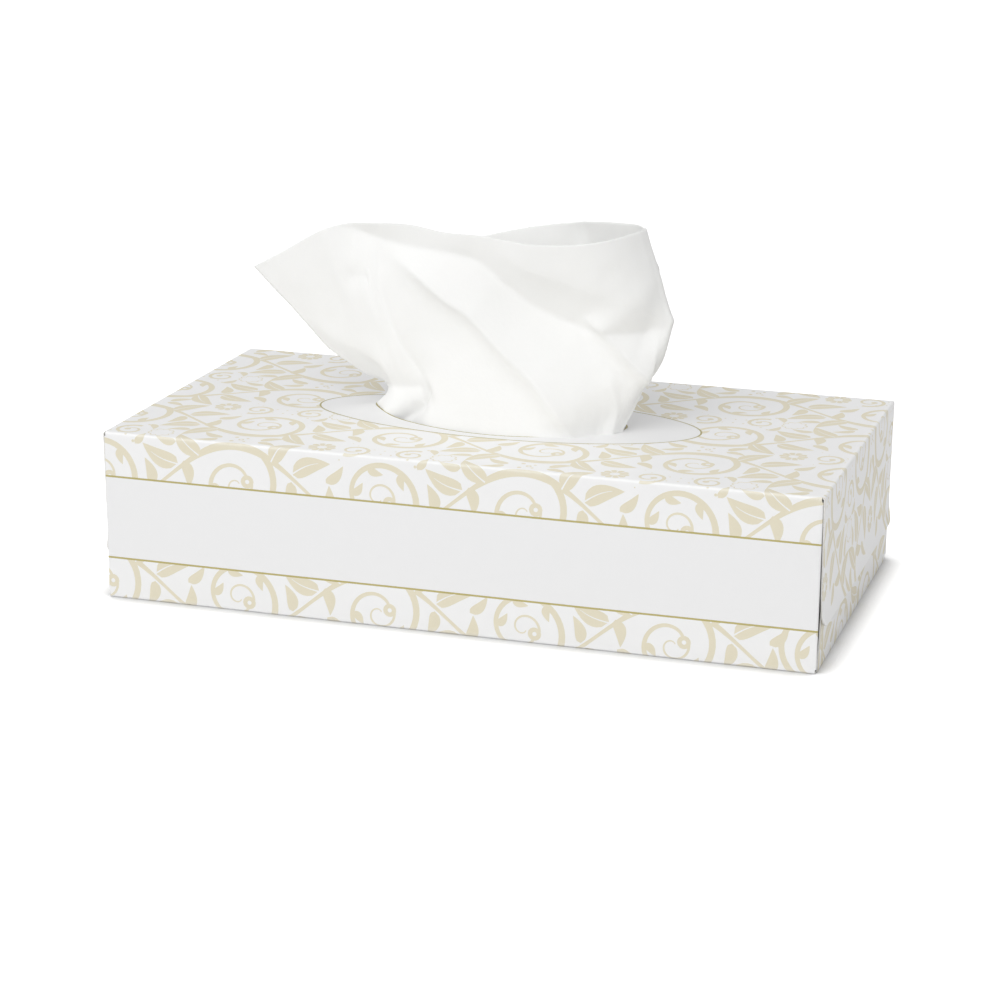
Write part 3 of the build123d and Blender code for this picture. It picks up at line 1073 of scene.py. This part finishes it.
    def lens(self, grow: float = 0.0, nicks: bool = False) -> np.ndarray:
        """Outline of the opening.

        Args:
            grow: How far outside the opening.
            nicks: Whether it has the small ties left by the tear line.

        Returns:
            The outline's corners.
        """
        half_l, half_w, tip, shift = self.opening
        tip_points, side_points, tie = self.opening_points
        radius = (half_l**2 + half_w**2) / (2 * half_w)
        centre = radius - half_w
        inner = radius - tip
        tip_x = math.sqrt(inner**2 - centre**2)
        lean = math.atan2(centre, tip_x)
        pieces = []
        for side in (1, -1):
            start = 0 if side > 0 else math.pi
            a = np.linspace(-lean, lean, tip_points)[1:-1] + start
            knob = np.stack([side * tip_x + (tip + grow) * np.cos(a), (tip + grow) * np.sin(a)], 1)
            t = np.linspace(lean, math.pi - lean, side_points) + start
            ties = self.opening_ties * ((np.arange(side_points) % tie) == 1)
            reach = radius + grow + (ties if nicks else 0)
            arc = np.stack([reach * np.cos(t), reach * np.sin(t) - side * centre], 1)
            pieces += [knob, arc]
        outline = np.concatenate(pieces)
        outline[:, 0] *= np.where(outline[:, 0] > 0, self.right_share, 1.0)
        return outline + [0, shift]

    def ellipse(self, grow: float) -> np.ndarray:
        """Outline of the oval field.

        Args:
            grow: How far outside the field.

        Returns:
            The outline's corners.
        """
        turn = np.linspace(0, 2 * math.pi, self.oval_points, endpoint=False)
        a, b = self.oval[0] + grow, self.oval[1] + grow
        return np.stack([a * np.cos(turn), b * np.sin(turn) + self.opening[3]], 1)

    def crease_lines(self) -> list:
        """Finds the lines along which the blank is folded.

        Returns:
            Pairs of points.
        """
        end, flap = self.tube_end, self.flap_side - self.margin
        lower = self.margin - self.seam_v[0], -self.foot_v[1] - self.margin
        start, curl_half = self.curl_lines
        steps = np.linspace(0, 1, self.turn_points)
        corner = end + self.outer_lead + 2 * self.corner * steps
        bends = np.linspace(0, 1, self.curl_points)[:-1]
        curl = self.length / 2 + start + self.outer_curl.span * bends + self.outer_relief
        lines = []
        for low, high in (self.fold_v, self.foot_v, self.seam_v):
            for v in [low - self.guard, high + self.guard, *(low + (high - low) * steps)]:
                lines.append(((-end, -v), (end, -v)))
                if high == self.fold_v[1]:
                    lines.append(((-end, v), (end, v)))
        for side in (-1, 1):
            across = [(u, -flap, flap) for u in [*(end + g for g in self.end_guards), *corner]]
            across += [(u, -curl_half, curl_half) for u in curl]
            for u in end + self.tight_turn * steps[1:]:
                across += [(u, *(way * v for v in self.dust_sides)) for way in (-1, 1)]
            across += [(u, *lower) for u in end + self.lower_lead + self.tight_turn * steps]
            lines += [((side * u, v0), (side * u, v1)) for u, v0, v1 in across]
        return lines

    def near_crease(self, u: np.ndarray, v: np.ndarray) -> np.ndarray:
        """How near places on the blank are to a crease.

        Args:
            u: Places along the blank.
            v: Places across the blank.

        Returns:
            A share from 0 to 1 at each place.
        """
        a = np.abs(v)
        gap = np.minimum(np.abs(a - np.mean(self.fold_v)), np.abs(a - np.mean(self.foot_v)))
        ends = np.minimum(gap, np.abs(np.abs(u) - self.length / 2))
        gap = np.where(a < self.fold_v[0] + self.print_slack, ends, gap)
        level, span = self.rub_reach
        return np.clip(level - gap / span, 0, 1)

    def print_shapes(self) -> list:
        """Lays the vine over the blank, and again over the lower flaps.

        Returns:
            The shapes that some visible board carries.
        """
        pattern = VinePattern()
        slack = self.print_slack
        shapes = []
        for motif, shape in pattern.cover(self.length / 2 + self.flap_tip, self.foot_line):
            (low, high), near_end = (shape[:, 1].min(), shape[:, 1].max()), abs(shape[:, 0]).min()
            off_panels = high < -self.foot_line - slack or low > self.foot_line - slack
            off_flap = low > self.flap_side or high < -self.flap_side
            off_tube = near_end > self.tube_end + self.tube_slack and off_flap
            level = np.sort(self.foot_line - np.abs(shape[:, 1]))
            in_band = level[0] > self.band[0] + self.band_core and level[-1] < self.band[1] - self.band_core
            in_oval = (((shape - [0, self.opening[3]]) / self.oval_core) ** 2).sum(1).max() < 1
            if not (off_panels or near_end > self.print_end or off_tube or in_band or in_oval):
                shapes.append((motif, shape))
        root = self.tube_end + self.lower_lead + self.tight_turn - self.tight_corner
        rows, least, most, along = self.flap_print
        for motif, shape in pattern.cover(self.half, rows):
            if shape[:, 1].min() > most or shape[:, 1].max() < least or abs(shape[:, 0]).min() > along:
                continue
            for side in (-1, 1):
                u = side * (root + shape[:, 1])
                v = -self.foot_v[1] - (side * shape[:, 0] + self.flap_half)
                shapes.append((motif, np.stack([u, v], 1)))
        return shapes

    def cut_sheet(self, printed: bool) -> tuple[np.ndarray, np.ndarray, list]:
        """Divides the blank into triangles along its cuts, creases and print.

        Args:
            printed: Whether the print's outlines are followed.

        Returns:
            Places on the blank, triangles, and the motifs round each triangle.
        """
        outlines = [(self.blank(), Motif.BLANK), (self.lens(nicks=True), Motif.HOLE)]
        if printed:
            half = self.rule / 2
            end = self.tube_end + self.band_lap
            outlines.append((self.lens(self.rule), Motif.LENS_RULE))
            outlines += [(self.ellipse(half), Motif.OVAL_RULE), (self.ellipse(-half), Motif.OVAL_FIELD)]
            for side in (-1, 1):
                for level in self.band:
                    low, high = side * (self.foot_line - level) + np.array([-half, half])
                    stripe = np.array([(-end, low), (end, low), (end, high), (-end, high)])
                    outlines.append((stripe, Motif.BAND_RULE))
            outlines += [(shape, motif) for motif, shape in self.print_shapes()]
        points, edges, polygons = [], [], []
        for outline, _ in outlines:
            after = np.roll(outline, -1, axis=0)
            if (outline[:, 0] * after[:, 1] - after[:, 0] * outline[:, 1]).sum() < 0:
                outline = outline[::-1]
            polygons.append(list(range(len(points), len(points) + len(outline))))
            points += [tuple(map(float, p)) for p in outline]
        for pair in self.crease_lines():
            edges.append((len(points), len(points) + 1))
            points += pair
        shift_u, shift_v = self.grid_shift
        u_range, v_range = self.grid_area
        for u in np.arange(*u_range, self.grid):
            for v in np.arange(*v_range, self.grid):
                points.append((float(u) + shift_u, float(v) + shift_v))
        flat = [Vector(p) for p in points]
        verts, _, tris, _, _, origin = geometry.delaunay_2d_cdt(flat, edges, polygons, 0, 1e-5, True)
        places = np.array([tuple(p) for p in verts])
        kept, shows = [], []
        for tri, sources in zip(tris, origin):
            found = {outlines[k][1] for k in sources if k < len(outlines)}
            if Motif.BLANK in found and Motif.HOLE not in found and len(tri) == 3:
                kept.append(tri)
                shows.append(found)
        return places, np.array(kept), shows

    def skins(self, middle: np.ndarray, shows: list) -> np.ndarray:
        """Finds what each triangle of the printed side shows.

        Args:
            middle: Middle of each triangle.
            shows: Motifs round each triangle.

        Returns:
            Its skin.
        """
        out = np.full(len(middle), Skin.BOARD, object)
        for k, ((u, v), found) in enumerate(zip(middle, shows)):
            level = self.foot_line - abs(v)
            on_side = self.half < abs(v) < self.foot_line
            on_tube = abs(u) < self.tube_end + self.band_lap
            in_oval = Motif.OVAL_FIELD in found
            in_band = on_side and on_tube and self.band[0] < level < self.band[1]
            if found & {Motif.LENS_RULE, Motif.BAND_RULE} or Motif.OVAL_RULE in found and not in_oval:
                out[k] = Skin.RULE
            elif in_oval or in_band:
                out[k] = Skin.FIELD
            elif Motif.INK in found and Motif.BARE not in found and (on_tube or not on_side):
                out[k] = Skin.VINE
        return out

    def build(self) -> list[bpy.types.Object]:
        """Folds the sheet and makes its printed side, its inside and its cut edges.

        Returns:
            The pieces.
        """
        flat, tris, shows = self.cut_sheet(True)
        shown = self.skins(flat[tris].mean(1), shows)
        places, normals = self.fold(*flat.T)
        crease = self.near_crease(*flat.T)
        pieces = []
        for skin in Skin:
            name, finish, slot, node = skin.value
            faces, p, n, c = used_points(tris[shown == skin], places, normals, crease)
            pieces.append(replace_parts(mesh_piece(name, p, faces, finish, n, c), node))
        flat_in, tris_in, _ = self.cut_sheet(False)
        place_in, normal_in = self.fold(*flat_in.T)
        faces, p, n = used_points(tris_in[:, ::-1], place_in - self.board * normal_in, -normal_in)
        pieces.append(mesh_piece("board_inside", p, faces, Finish.INSIDE, n))
        pieces.append(self.cut_edges(tris, places, normals))
        return pieces

    def cut_edges(self, tris: np.ndarray, places: np.ndarray, normals: np.ndarray) -> bpy.types.Object:
        """Narrow cut faces along every edge of the board.

        Args:
            tris: Triangles of the printed side.
            places: Their points.
            normals: Normals there.

        Returns:
            The piece.
        """
        edges = np.concatenate([tris[:, [0, 1]], tris[:, [1, 2]], tris[:, [2, 0]]])
        key = np.sort(edges, axis=1)
        _, first, count = np.unique(key, axis=0, return_index=True, return_counts=True)
        rim = edges[first[count == 1]]
        a, b = places[rim[:, 0]], places[rim[:, 1]]
        na, nb = normals[rim[:, 0]], normals[rim[:, 1]]
        points = np.concatenate([a, b, b - self.board * nb, a - self.board * na])
        n = len(rim)
        faces = np.arange(n)[:, None] + np.array([n, 0, 3 * n, 2 * n])
        side = np.cross(b - a, na)
        side /= np.linalg.norm(side, axis=1)[:, None] + 1e-12
        return mesh_piece("cut_edges", points, faces, Finish.EDGE, np.tile(side, (4, 1)))


# The tissues


@dataclass(frozen=True)
class Crease:
    """A fold in the raised tissue, along a line of places: across in mm, then the share of the climb."""

    line: tuple[float, ...]
    depth: float
    above: float
    below: float
    blunt: float = 0.9
    fade: float = 0.25

    def push(self, across: np.ndarray, up: np.ndarray) -> np.ndarray:
        """How far the fold moves each place out of the sheet.

        Args:
            across: Places along the gathered edge, in millimetres.
            up: Places up the sheet, in millimetres.

        Returns:
            The move at each place, in millimetres.
        """
        line = np.reshape(self.line, (-1, 2)) * [1.0, RaisedTissue.reach]
        chord = line[-1] - line[0]
        size = np.linalg.norm(chord)
        way = chord / size
        run = (line - line[0]) @ way
        off = (line - line[0]) @ [-way[1], way[0]]
        s = (across - line[0, 0]) * way[0] + (up - line[0, 1]) * way[1]
        t = (up - line[0, 1]) * way[0] - (across - line[0, 0]) * way[1]
        middle = curve(run, off[:, None], np.clip(s, 0, size).ravel())[:, 0].reshape(s.shape)
        gap = t - middle
        fall = (np.hypot(gap, self.blunt) - self.blunt) / np.where(gap > 0, self.above, self.below)
        ease = smooth_step(s / size / self.fade) * smooth_step((1 - s / size) / self.fade)
        return self.depth * ease * np.exp(-fall)


@dataclass
class RaisedTissue:
    """The top tissue, gathered up through the opening.

    Its curves are given at places along the sheet, from the free left edge round the front.
    Neck and pinch lie level at the opening, waist and rim also have heights.
    """

    height: float = 56.0
    sheet: float = 0.24
    foot_level: float = 45.6
    foot_spread: tuple = (1.10, 1.25)
    pinch_level: float = 62.5
    nose: tuple = (2.2, 20.0)
    levels: tuple = (0.0, 0.13, 0.21, 0.60, 1.0)
    waves: tuple = ((0.38, 0.055), (0.16, 0.16))
    full_grid: tuple = (300, 118)
    shift: float = -1.5
    places: tuple = (0, 14, 27, 38, 48, 60, 75, 90, 105, 120, 135, 147, 157, 175, 192, 210)
    neck: tuple = (
        (-41.5, 3.0), (-46.3, -1.5), (-43.4, -5.6), (-38.2, -10.4), (-31.2, -11.6), (-24.6, -17.0),
        (-9.9, -21.3), (5.2, -22.1), (18.4, -19.8), (30.2, -15.0), (37.3, -10.3), (40.6, -6.2),
        (38.3, 1.2), (21.5, 5.0), (3.3, 6.7), (-14.2, 7.8),
    )
    pinch: tuple = (
        (-43.4, 2.0), (-43.6, -2.0), (-41.2, -6.2), (-37.6, -8.6), (-32.6, -10.6), (-26.0, -14.4),
        (-11.3, -18.8), (4.2, -19.3), (17.7, -17.9), (30.4, -14.0), (39.4, -9.6), (43.8, -5.2),
        (39.5, 1.6), (22.7, 5.9), (5.2, 7.2), (-13.2, 7.8),
    )
    waist: tuple = (
        (-64.5, 2.0, 74.0), (-57.0, -1.9, 82.0), (-50.0, -5.9, 86.8), (-44.6, -9.3, 89.6),
        (-39.9, -9.7, 90.6), (-31.5, -10.8, 91.0), (-17.8, -11.6, 90.6), (-4.2, -10.8, 90.3),
        (10.5, -9.7, 90.0), (25.2, -9.7, 90.3), (42.0, -8.3, 91.0), (55.2, -1.1, 92.4),
        (46.2, 4.8, 91.6), (29.4, 8.6, 91.6), (10.5, 9.3, 90.6), (-9.5, 8.2, 88.0),
    )
    rim: tuple = (
        (-90.9, 1.9, 99.8), (-78.9, -1.1, 106.4), (-68.0, -4.0, 112.9), (-57.5, -6.8, 117.5),
        (-47.0, -8.9, 118.7), (-33.5, -10.2, 119.6), (-20.5, -11.3, 118.2), (-6.0, -12.8, 118.2),
        (9.0, -14.2, 117.7), (23.0, -15.1, 118.2), (36.5, -13.6, 120.2), (44.8, -1.5, 121.6),
        (38.0, 5.0, 121.6), (21.5, 9.8, 120.5), (3.0, 13.0, 117.3), (-20.0, 11.0, 111.6),
    )
    creases: tuple = (
        Crease(
            (38, 1.02, 47.5, 0.86, 46, 0.73, 47, 0.605, 53, 0.43, 60.5, 0.32, 66, 0.24),
            -1.4, 6, 9, blunt=0.5, fade=0.15,
        ),
        Crease(
            (49, 0.90, 55, 0.845, 65.5, 0.775, 76.5, 0.68, 84, 0.615, 89.5, 0.52, 96, 0.41, 102, 0.325,
             106, 0.25, 124, 0),
            5.2, 17, 4, blunt=0.7, fade=0.22,
        ),
        Crease(
            (32, 1.02, 45.5, 0.945, 56.5, 0.90, 69, 0.895, 82, 0.885, 89.5, 0.85, 97, 0.765, 105, 0.68,
             115, 0.615, 122.5, 0.58, 132, 0.565, 149, 0.57),
            -5, 8.5, 16, blunt=0.7, fade=0.08,
        ),
        Crease(
            (122, 0.65, 127, 0.60, 131.5, 0.52, 136, 0.43, 142, 0.36, 147, 0.31), 5, 10, 3.2, blunt=0.5
        ),
        Crease((127, 0.42, 130, 0.325, 133.5, 0.24, 138, 0.02), 1.2, 3, 8, blunt=0.5),
        Crease((38, 0.04, 46, 0.12, 57.5, 0.19, 64.5, 0.265, 66, 0.29), -3, 1.9, 1.9, blunt=0.5, fade=0.15),
        Crease((-6, 0.27, 20, 0.24, 35.5, 0.24, 50, 0.245, 65, 0.275), -2.6, 5, 6.5, blunt=0.5, fade=0.12),
        Crease((4, 0.135, 25, 0.15, 42, 0.175, 56, 0.23), 1, 3.5, 3.5, blunt=2),
        Crease((28, 0.78, 35, 0.765, 43, 0.745), -1.2, 4, 4, blunt=1.5),
        Crease(
            (88, 1, 98, 0.93, 110, 0.86, 131.5, 0.75, 140, 0.66, 148, 0.59), 2.2, 22, 7, blunt=1.6, fade=0.3
        ),
        Crease((2, 0.82, 5.5, 0.665, 12, 0.52, 34, 0.31, 48, 0.24), 1.8, 10, 6, blunt=2),
        Crease((143.5, 1.15, 144, 0.80, 143.5, 0.58, 143, 0.35, 142.5, 0.18), 1, 2.2, 10, fade=0.12),
        Crease((150, 0.80, 165, 0.82, 180, 0.85), 3, 10, 8, fade=0.12),
        Crease((174, 1.05, 180, 0.90, 190, 0.70), 1, 6, 3),
    )
    corner_fold: tuple = (147.0, 9.0)
    edge_fold: tuple = (0.0, 14.0)
    gather: tuple = (0.14, 0.08)
    pleats: tuple = ((0.62, 1.4, 0.11, 0.07), (1.37, 2.0, 0.03))
    hold: tuple = (0.02, 0.15)
    quick_grid: tuple = (150, 60)
    reach: float = 78.0
    sheet_length: float = 210.0
    lying_half_size: tuple = (104.9, 52.2)
    lying_level: float = 45.72
    lying_wave: tuple = (0.10, 0.11, 0.4, 0.2, 0.09)
    lying_grid: tuple = (71, 37)

    def surface(self, across: np.ndarray, climb: np.ndarray) -> np.ndarray:
        """Middle of the gathered sheet without its small folds.

        Args:
            across: Places along the gathered edge, from 0 to 210.
            climb: Places up the sheet, 0 at the foot and 1 at the free edge.

        Returns:
            A grid of points, one row for each climb.
        """
        knots = np.array(self.places, float)
        neck = np.array([(x, y, self.height) for x, y in self.neck])
        pinch = np.array([(x, y, self.pinch_level) for x, y in self.pinch])
        drop, spread = self.nose
        pinch[:, 2] -= drop * bell(knots, 0, spread)
        centre = np.array([0.0, self.shift, 0.0])
        foot = (neck - centre) * [*self.foot_spread, 0.0] + centre + [0, 0, self.foot_level]
        lines = (foot, neck, pinch, np.array(self.waist), np.array(self.rim))
        levels = np.array(self.levels)
        soft, sharp = (
            curve(levels, np.array([curve(knots, row, across, even) for row in lines]), climb, even)
            for even in (True, False)
        )
        share = bell(across, *self.corner_fold) + bell(across, *self.edge_fold)
        return soft + (sharp - soft) * share[None, :, None]

    def folds(self, across: np.ndarray, climb: np.ndarray) -> np.ndarray:
        """How far the folds and the pleats of the neck push the sheet out.

        Args:
            across: Places along the gathered edge.
            climb: Places up the sheet.

        Returns:
            A grid of moves in millimetres, one row for each climb.
        """
        a, c = np.meshgrid(across, climb * self.reach)
        push = sum(crease.push(a, c) for crease in self.creases)
        (pace, sway, slow, broad), (fine_pace, turn, fine) = self.pleats
        pleats = np.sin(a * pace + sway * np.sin(a * slow)) * broad + np.sin(a * fine_pace + turn) * fine
        return push + bell(climb, *self.gather)[:, None] * pleats

    def crumple(self, points: np.ndarray) -> np.ndarray:
        """Small random waves of the sheet.

        Args:
            points: Places in millimetres.

        Returns:
            How far each place is pushed out, in millimetres.
        """
        (broad, broad_pace), (fine, fine_pace) = self.waves
        other = Vector((7, 3, 1))
        spots = (Vector(p) for p in points)
        return np.array([
            broad * noise.noise(spot * broad_pace) + fine * noise.noise(spot * fine_pace + other)
            for spot in spots
        ])

    def build(self) -> bpy.types.Object:
        """Makes the raised half and the half that lies on the pile, one thin sheet.

        Returns:
            The piece.
        """
        columns, rows = self.full_grid
        across = np.linspace(0, self.sheet_length, columns)
        climb = np.linspace(0, 1, rows)
        grid = self.surface(across, climb)
        push = self.folds(across, climb) + self.crumple(grid.reshape(-1, 3)).reshape(rows, columns)
        start, span = self.hold
        hold = np.clip((climb - start) / span, 0, 1)[:, None]
        grid = grid + unit_normals(grid) * (push * hold)[:, :, None]
        half = unit_normals(grid) * self.sheet / 2
        lying, lying_faces = self.lying_half(2 * rows * columns)
        points = np.concatenate([(grid + half).reshape(-1, 3), (grid - half).reshape(-1, 3), lying])
        faces = np.concatenate([sheet_faces(rows, columns), lying_faces])
        piece = mesh_piece("raised_sheet", points, faces, Finish.TISSUE)
        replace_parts(piece, "raised_tissue")
        return piece

    def lying_half(self, first: int) -> tuple[np.ndarray, np.ndarray]:
        """The lower half of the sheet, flat on the pile.

        Args:
            first: Number of its first point.

        Returns:
            Points and faces.
        """
        columns, rows = self.lying_grid
        half_length, half_width = self.lying_half_size
        x, y = np.meshgrid(
            np.linspace(-half_length, half_length, columns), np.linspace(-half_width, half_width, rows)
        )
        height, pace_x, sway, slow, pace_y = self.lying_wave
        wave = height * np.sin(x * pace_x + sway * np.sin(y * slow)) * np.cos(y * pace_y)
        top = np.stack([x, y, self.lying_level + wave], 2).reshape(-1, 3)
        return np.concatenate([top, top - [0, 0, self.sheet]]), sheet_faces(rows, columns, first)


@dataclass
class TissuePile:
    """The folded tissues left in the carton, with the edge of every fold."""

    bottom: float = 0.5
    top: float = 45.4
    half_width: float = 52.25
    half_length: float = 104.95
    fold_bulge: float = 0.28
    bundle_bulge: float = 0.9
    sway: float = 0.35
    sway_pace: tuple = (0.03, 0.02, 1.1)
    blunt: tuple = (0.6, 0.5)
    layers: int = 60
    bundles: int = 6
    steps: int = 4
    slices: int = 30

    def build(self) -> bpy.types.Object:
        """Makes the pile as one closed block with folded long sides.

        Returns:
            The piece.
        """
        z = np.linspace(self.bottom, self.top, self.layers * self.steps + 1)
        share = (z - self.bottom) / (self.top - self.bottom)
        bundle = np.abs(np.sin(math.pi * share * self.bundles)) ** self.blunt[0]
        layer = np.abs(np.sin(math.pi * share * self.layers)) ** self.blunt[1]
        reach = self.half_width + self.bundle_bulge * bundle + self.fold_bulge * layer
        side = np.stack([reach, z], 1)
        x = np.linspace(-1, 1, 15)[1:-1] * self.half_width
        over = np.stack([-x, np.full(len(x), self.top)], 1)
        under = np.stack([x, np.full(len(x), self.bottom)], 1)
        loop = np.concatenate([side, over, (side * [-1, 1])[::-1], under])
        xs = np.linspace(-self.half_length, self.half_length, self.slices)
        pace_x, pace_y, pace_z = self.sway_pace
        rows = []
        for x in xs:
            sway = [self.sway * noise.noise(Vector((x * pace_x, y * pace_y, z * pace_z))) for y, z in loop]
            ring = np.column_stack([np.full(len(loop), x), loop])
            ring[:, 1] += np.array(sway) * np.sign(ring[:, 1])
            rows.append(ring)
        n = len(loop)
        a = np.arange(n)
        b = (a + 1) % n
        wall = np.stack([a, b, b + n, a + n], 1)[:, ::-1]
        faces = [face for k in range(len(xs) - 1) for face in (wall + k * n).tolist()]
        faces += [list(range(n))[::-1], list(range((len(xs) - 1) * n, len(xs) * n))]
        piece = mesh_piece("tissue_pile", np.concatenate(rows), faces, Finish.PILE)
        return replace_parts(piece, "tissue_stack")


# Studio


@dataclass
class Studio:
    """Pale floor, soft light and the camera."""

    world: float = 0.715
    lamps: tuple = (
        ("front_softbox", (-0.45, -1.65, 1.40), 25.5, 2.4),
        ("top_softbox", (0.35, 0.15, 1.80), 3.5, 1.6),
    )
    floor: float = 0.72
    floor_glow: float = 0.74
    # How far the painted contact shadow on the floor reaches, in metres.
    painted_shadow_reach: float = 0.011
    floor_reach: float = 14.0
    azimuth: float = 17.192
    elevation: float = 16.375
    roll: float = 0.492
    distance: float = 0.921144
    focal: float = 2.753358
    sensor: float = 36.0
    target: tuple = (-0.002876, 0.0, 0.026575)

    def lay_floor(self) -> None:
        """White floor that keeps the box's soft shadow, with a painted contact shadow where its glow is
        dimmed close to the box.
        """
        mesh = bpy.data.meshes.new("studio_floor")
        low, high = -self.floor_reach, self.floor_reach
        mesh.from_pydata([(low, low, 0), (high, low, 0), (high, high, 0), (low, high, 0)], [], [(0, 1, 2, 3)])
        floor = bpy.data.objects.new("studio_floor", mesh)
        bpy.context.scene.collection.objects.link(floor)
        s = Shader(bpy.data.materials.new("studio_floor"))
        seen = s.node("ShaderNodeLightPath") + s.node("ShaderNodeLightPath", result="Is Glossy Ray")
        # Painted contact shadow: ambient occlusion dims the floor's glow near the box; bare is the share of
        # glow left outside it.
        free = s.node("ShaderNodeAmbientOcclusion", None, {"Distance": self.painted_shadow_reach}, "AO")
        bare = s.node("ShaderNodeMath", {"operation": "MULTIPLY", "use_clamp": True}, {0: free - 0.5, 1: 2.0})
        glow = s.node("ShaderNodeEmission", None, {"Strength": seen * self.floor_glow * bare})
        paint = s.node("ShaderNodeBsdfDiffuse", None, {"Color": (self.floor,) * 3})
        both = s.node("ShaderNodeAddShader", None, {0: paint, 1: glow})
        s.node("ShaderNodeOutputMaterial", None, {"Surface": both})
        mesh.materials.append(s.owner)

    def light(self) -> None:
        """Even sky, white for the camera, with a large soft lamp in front and a weak one above."""
        bpy.context.scene.world = bpy.data.worlds.new("studio_sky")
        s = Shader(bpy.context.scene.world)
        level = 1 - (1 - s.node("ShaderNodeLightPath")) * (1 - self.world)
        sky = s.node("ShaderNodeBackground", None, {"Strength": level})
        s.node("ShaderNodeOutputWorld", None, {"Surface": sky})
        for name, place, power, size in self.lamps:
            lamp = bpy.data.lights.new(name, "AREA")
            lamp.shape = "DISK"
            lamp.size = size
            lamp.energy = power
            box = bpy.data.objects.new(name, lamp)
            box.location = place
            way = Vector(self.target) - Vector(place)
            box.rotation_euler = way.to_track_quat("-Z", "Y").to_euler()
            bpy.context.scene.collection.objects.link(box)

    def aim(self) -> None:
        """Camera at the photograph's angle."""
        a, e, r = (math.radians(x) for x in (self.azimuth, self.elevation, self.roll))
        back = Vector((math.sin(a) * math.cos(e), -math.cos(a) * math.cos(e), math.sin(e)))
        right = Vector((math.cos(a), math.sin(a), 0))
        up = back.cross(right)
        x_axis = right * math.cos(r) + up * math.sin(r)
        y_axis = up * math.cos(r) - right * math.sin(r)
        camera = bpy.data.cameras.new("view")
        camera.sensor_width = self.sensor
        camera.lens = self.focal * self.sensor
        camera.clip_start = 0.01
        holder = bpy.data.objects.new("view", camera)
        place = Vector(self.target) + back * self.distance
        turn = Matrix((x_axis, y_axis, back)).transposed().to_4x4()
        holder.matrix_world = Matrix.Translation(place) @ turn
        bpy.context.scene.collection.objects.link(holder)
        bpy.context.scene.camera = holder

    def build(self) -> None:
        """Sets up the whole studio."""
        bpy.context.scene.view_settings.view_transform = "Standard"
        self.lay_floor()
        self.light()
        self.aim()


def dress_glue() -> None:
    """Gives the two glue nodes their finish."""
    for name in ("seam_glue", "end_flap_glue"):
        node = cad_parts[name]
        node.data.materials.clear()
        node.data.materials.append(Finish.GLUE.material())
        LOG.info("%s: finish %s", name, Finish.GLUE.name)


def main() -> None:
    """Builds every piece in order."""
    logging.basicConfig(level=logging.INFO, format="%(name)s %(message)s")
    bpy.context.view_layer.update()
    Studio().build()
    FoldedCarton().build()
    TissuePile().build()
    RaisedTissue().build()
    dress_glue()


if __name__ == "__main__":
    main()
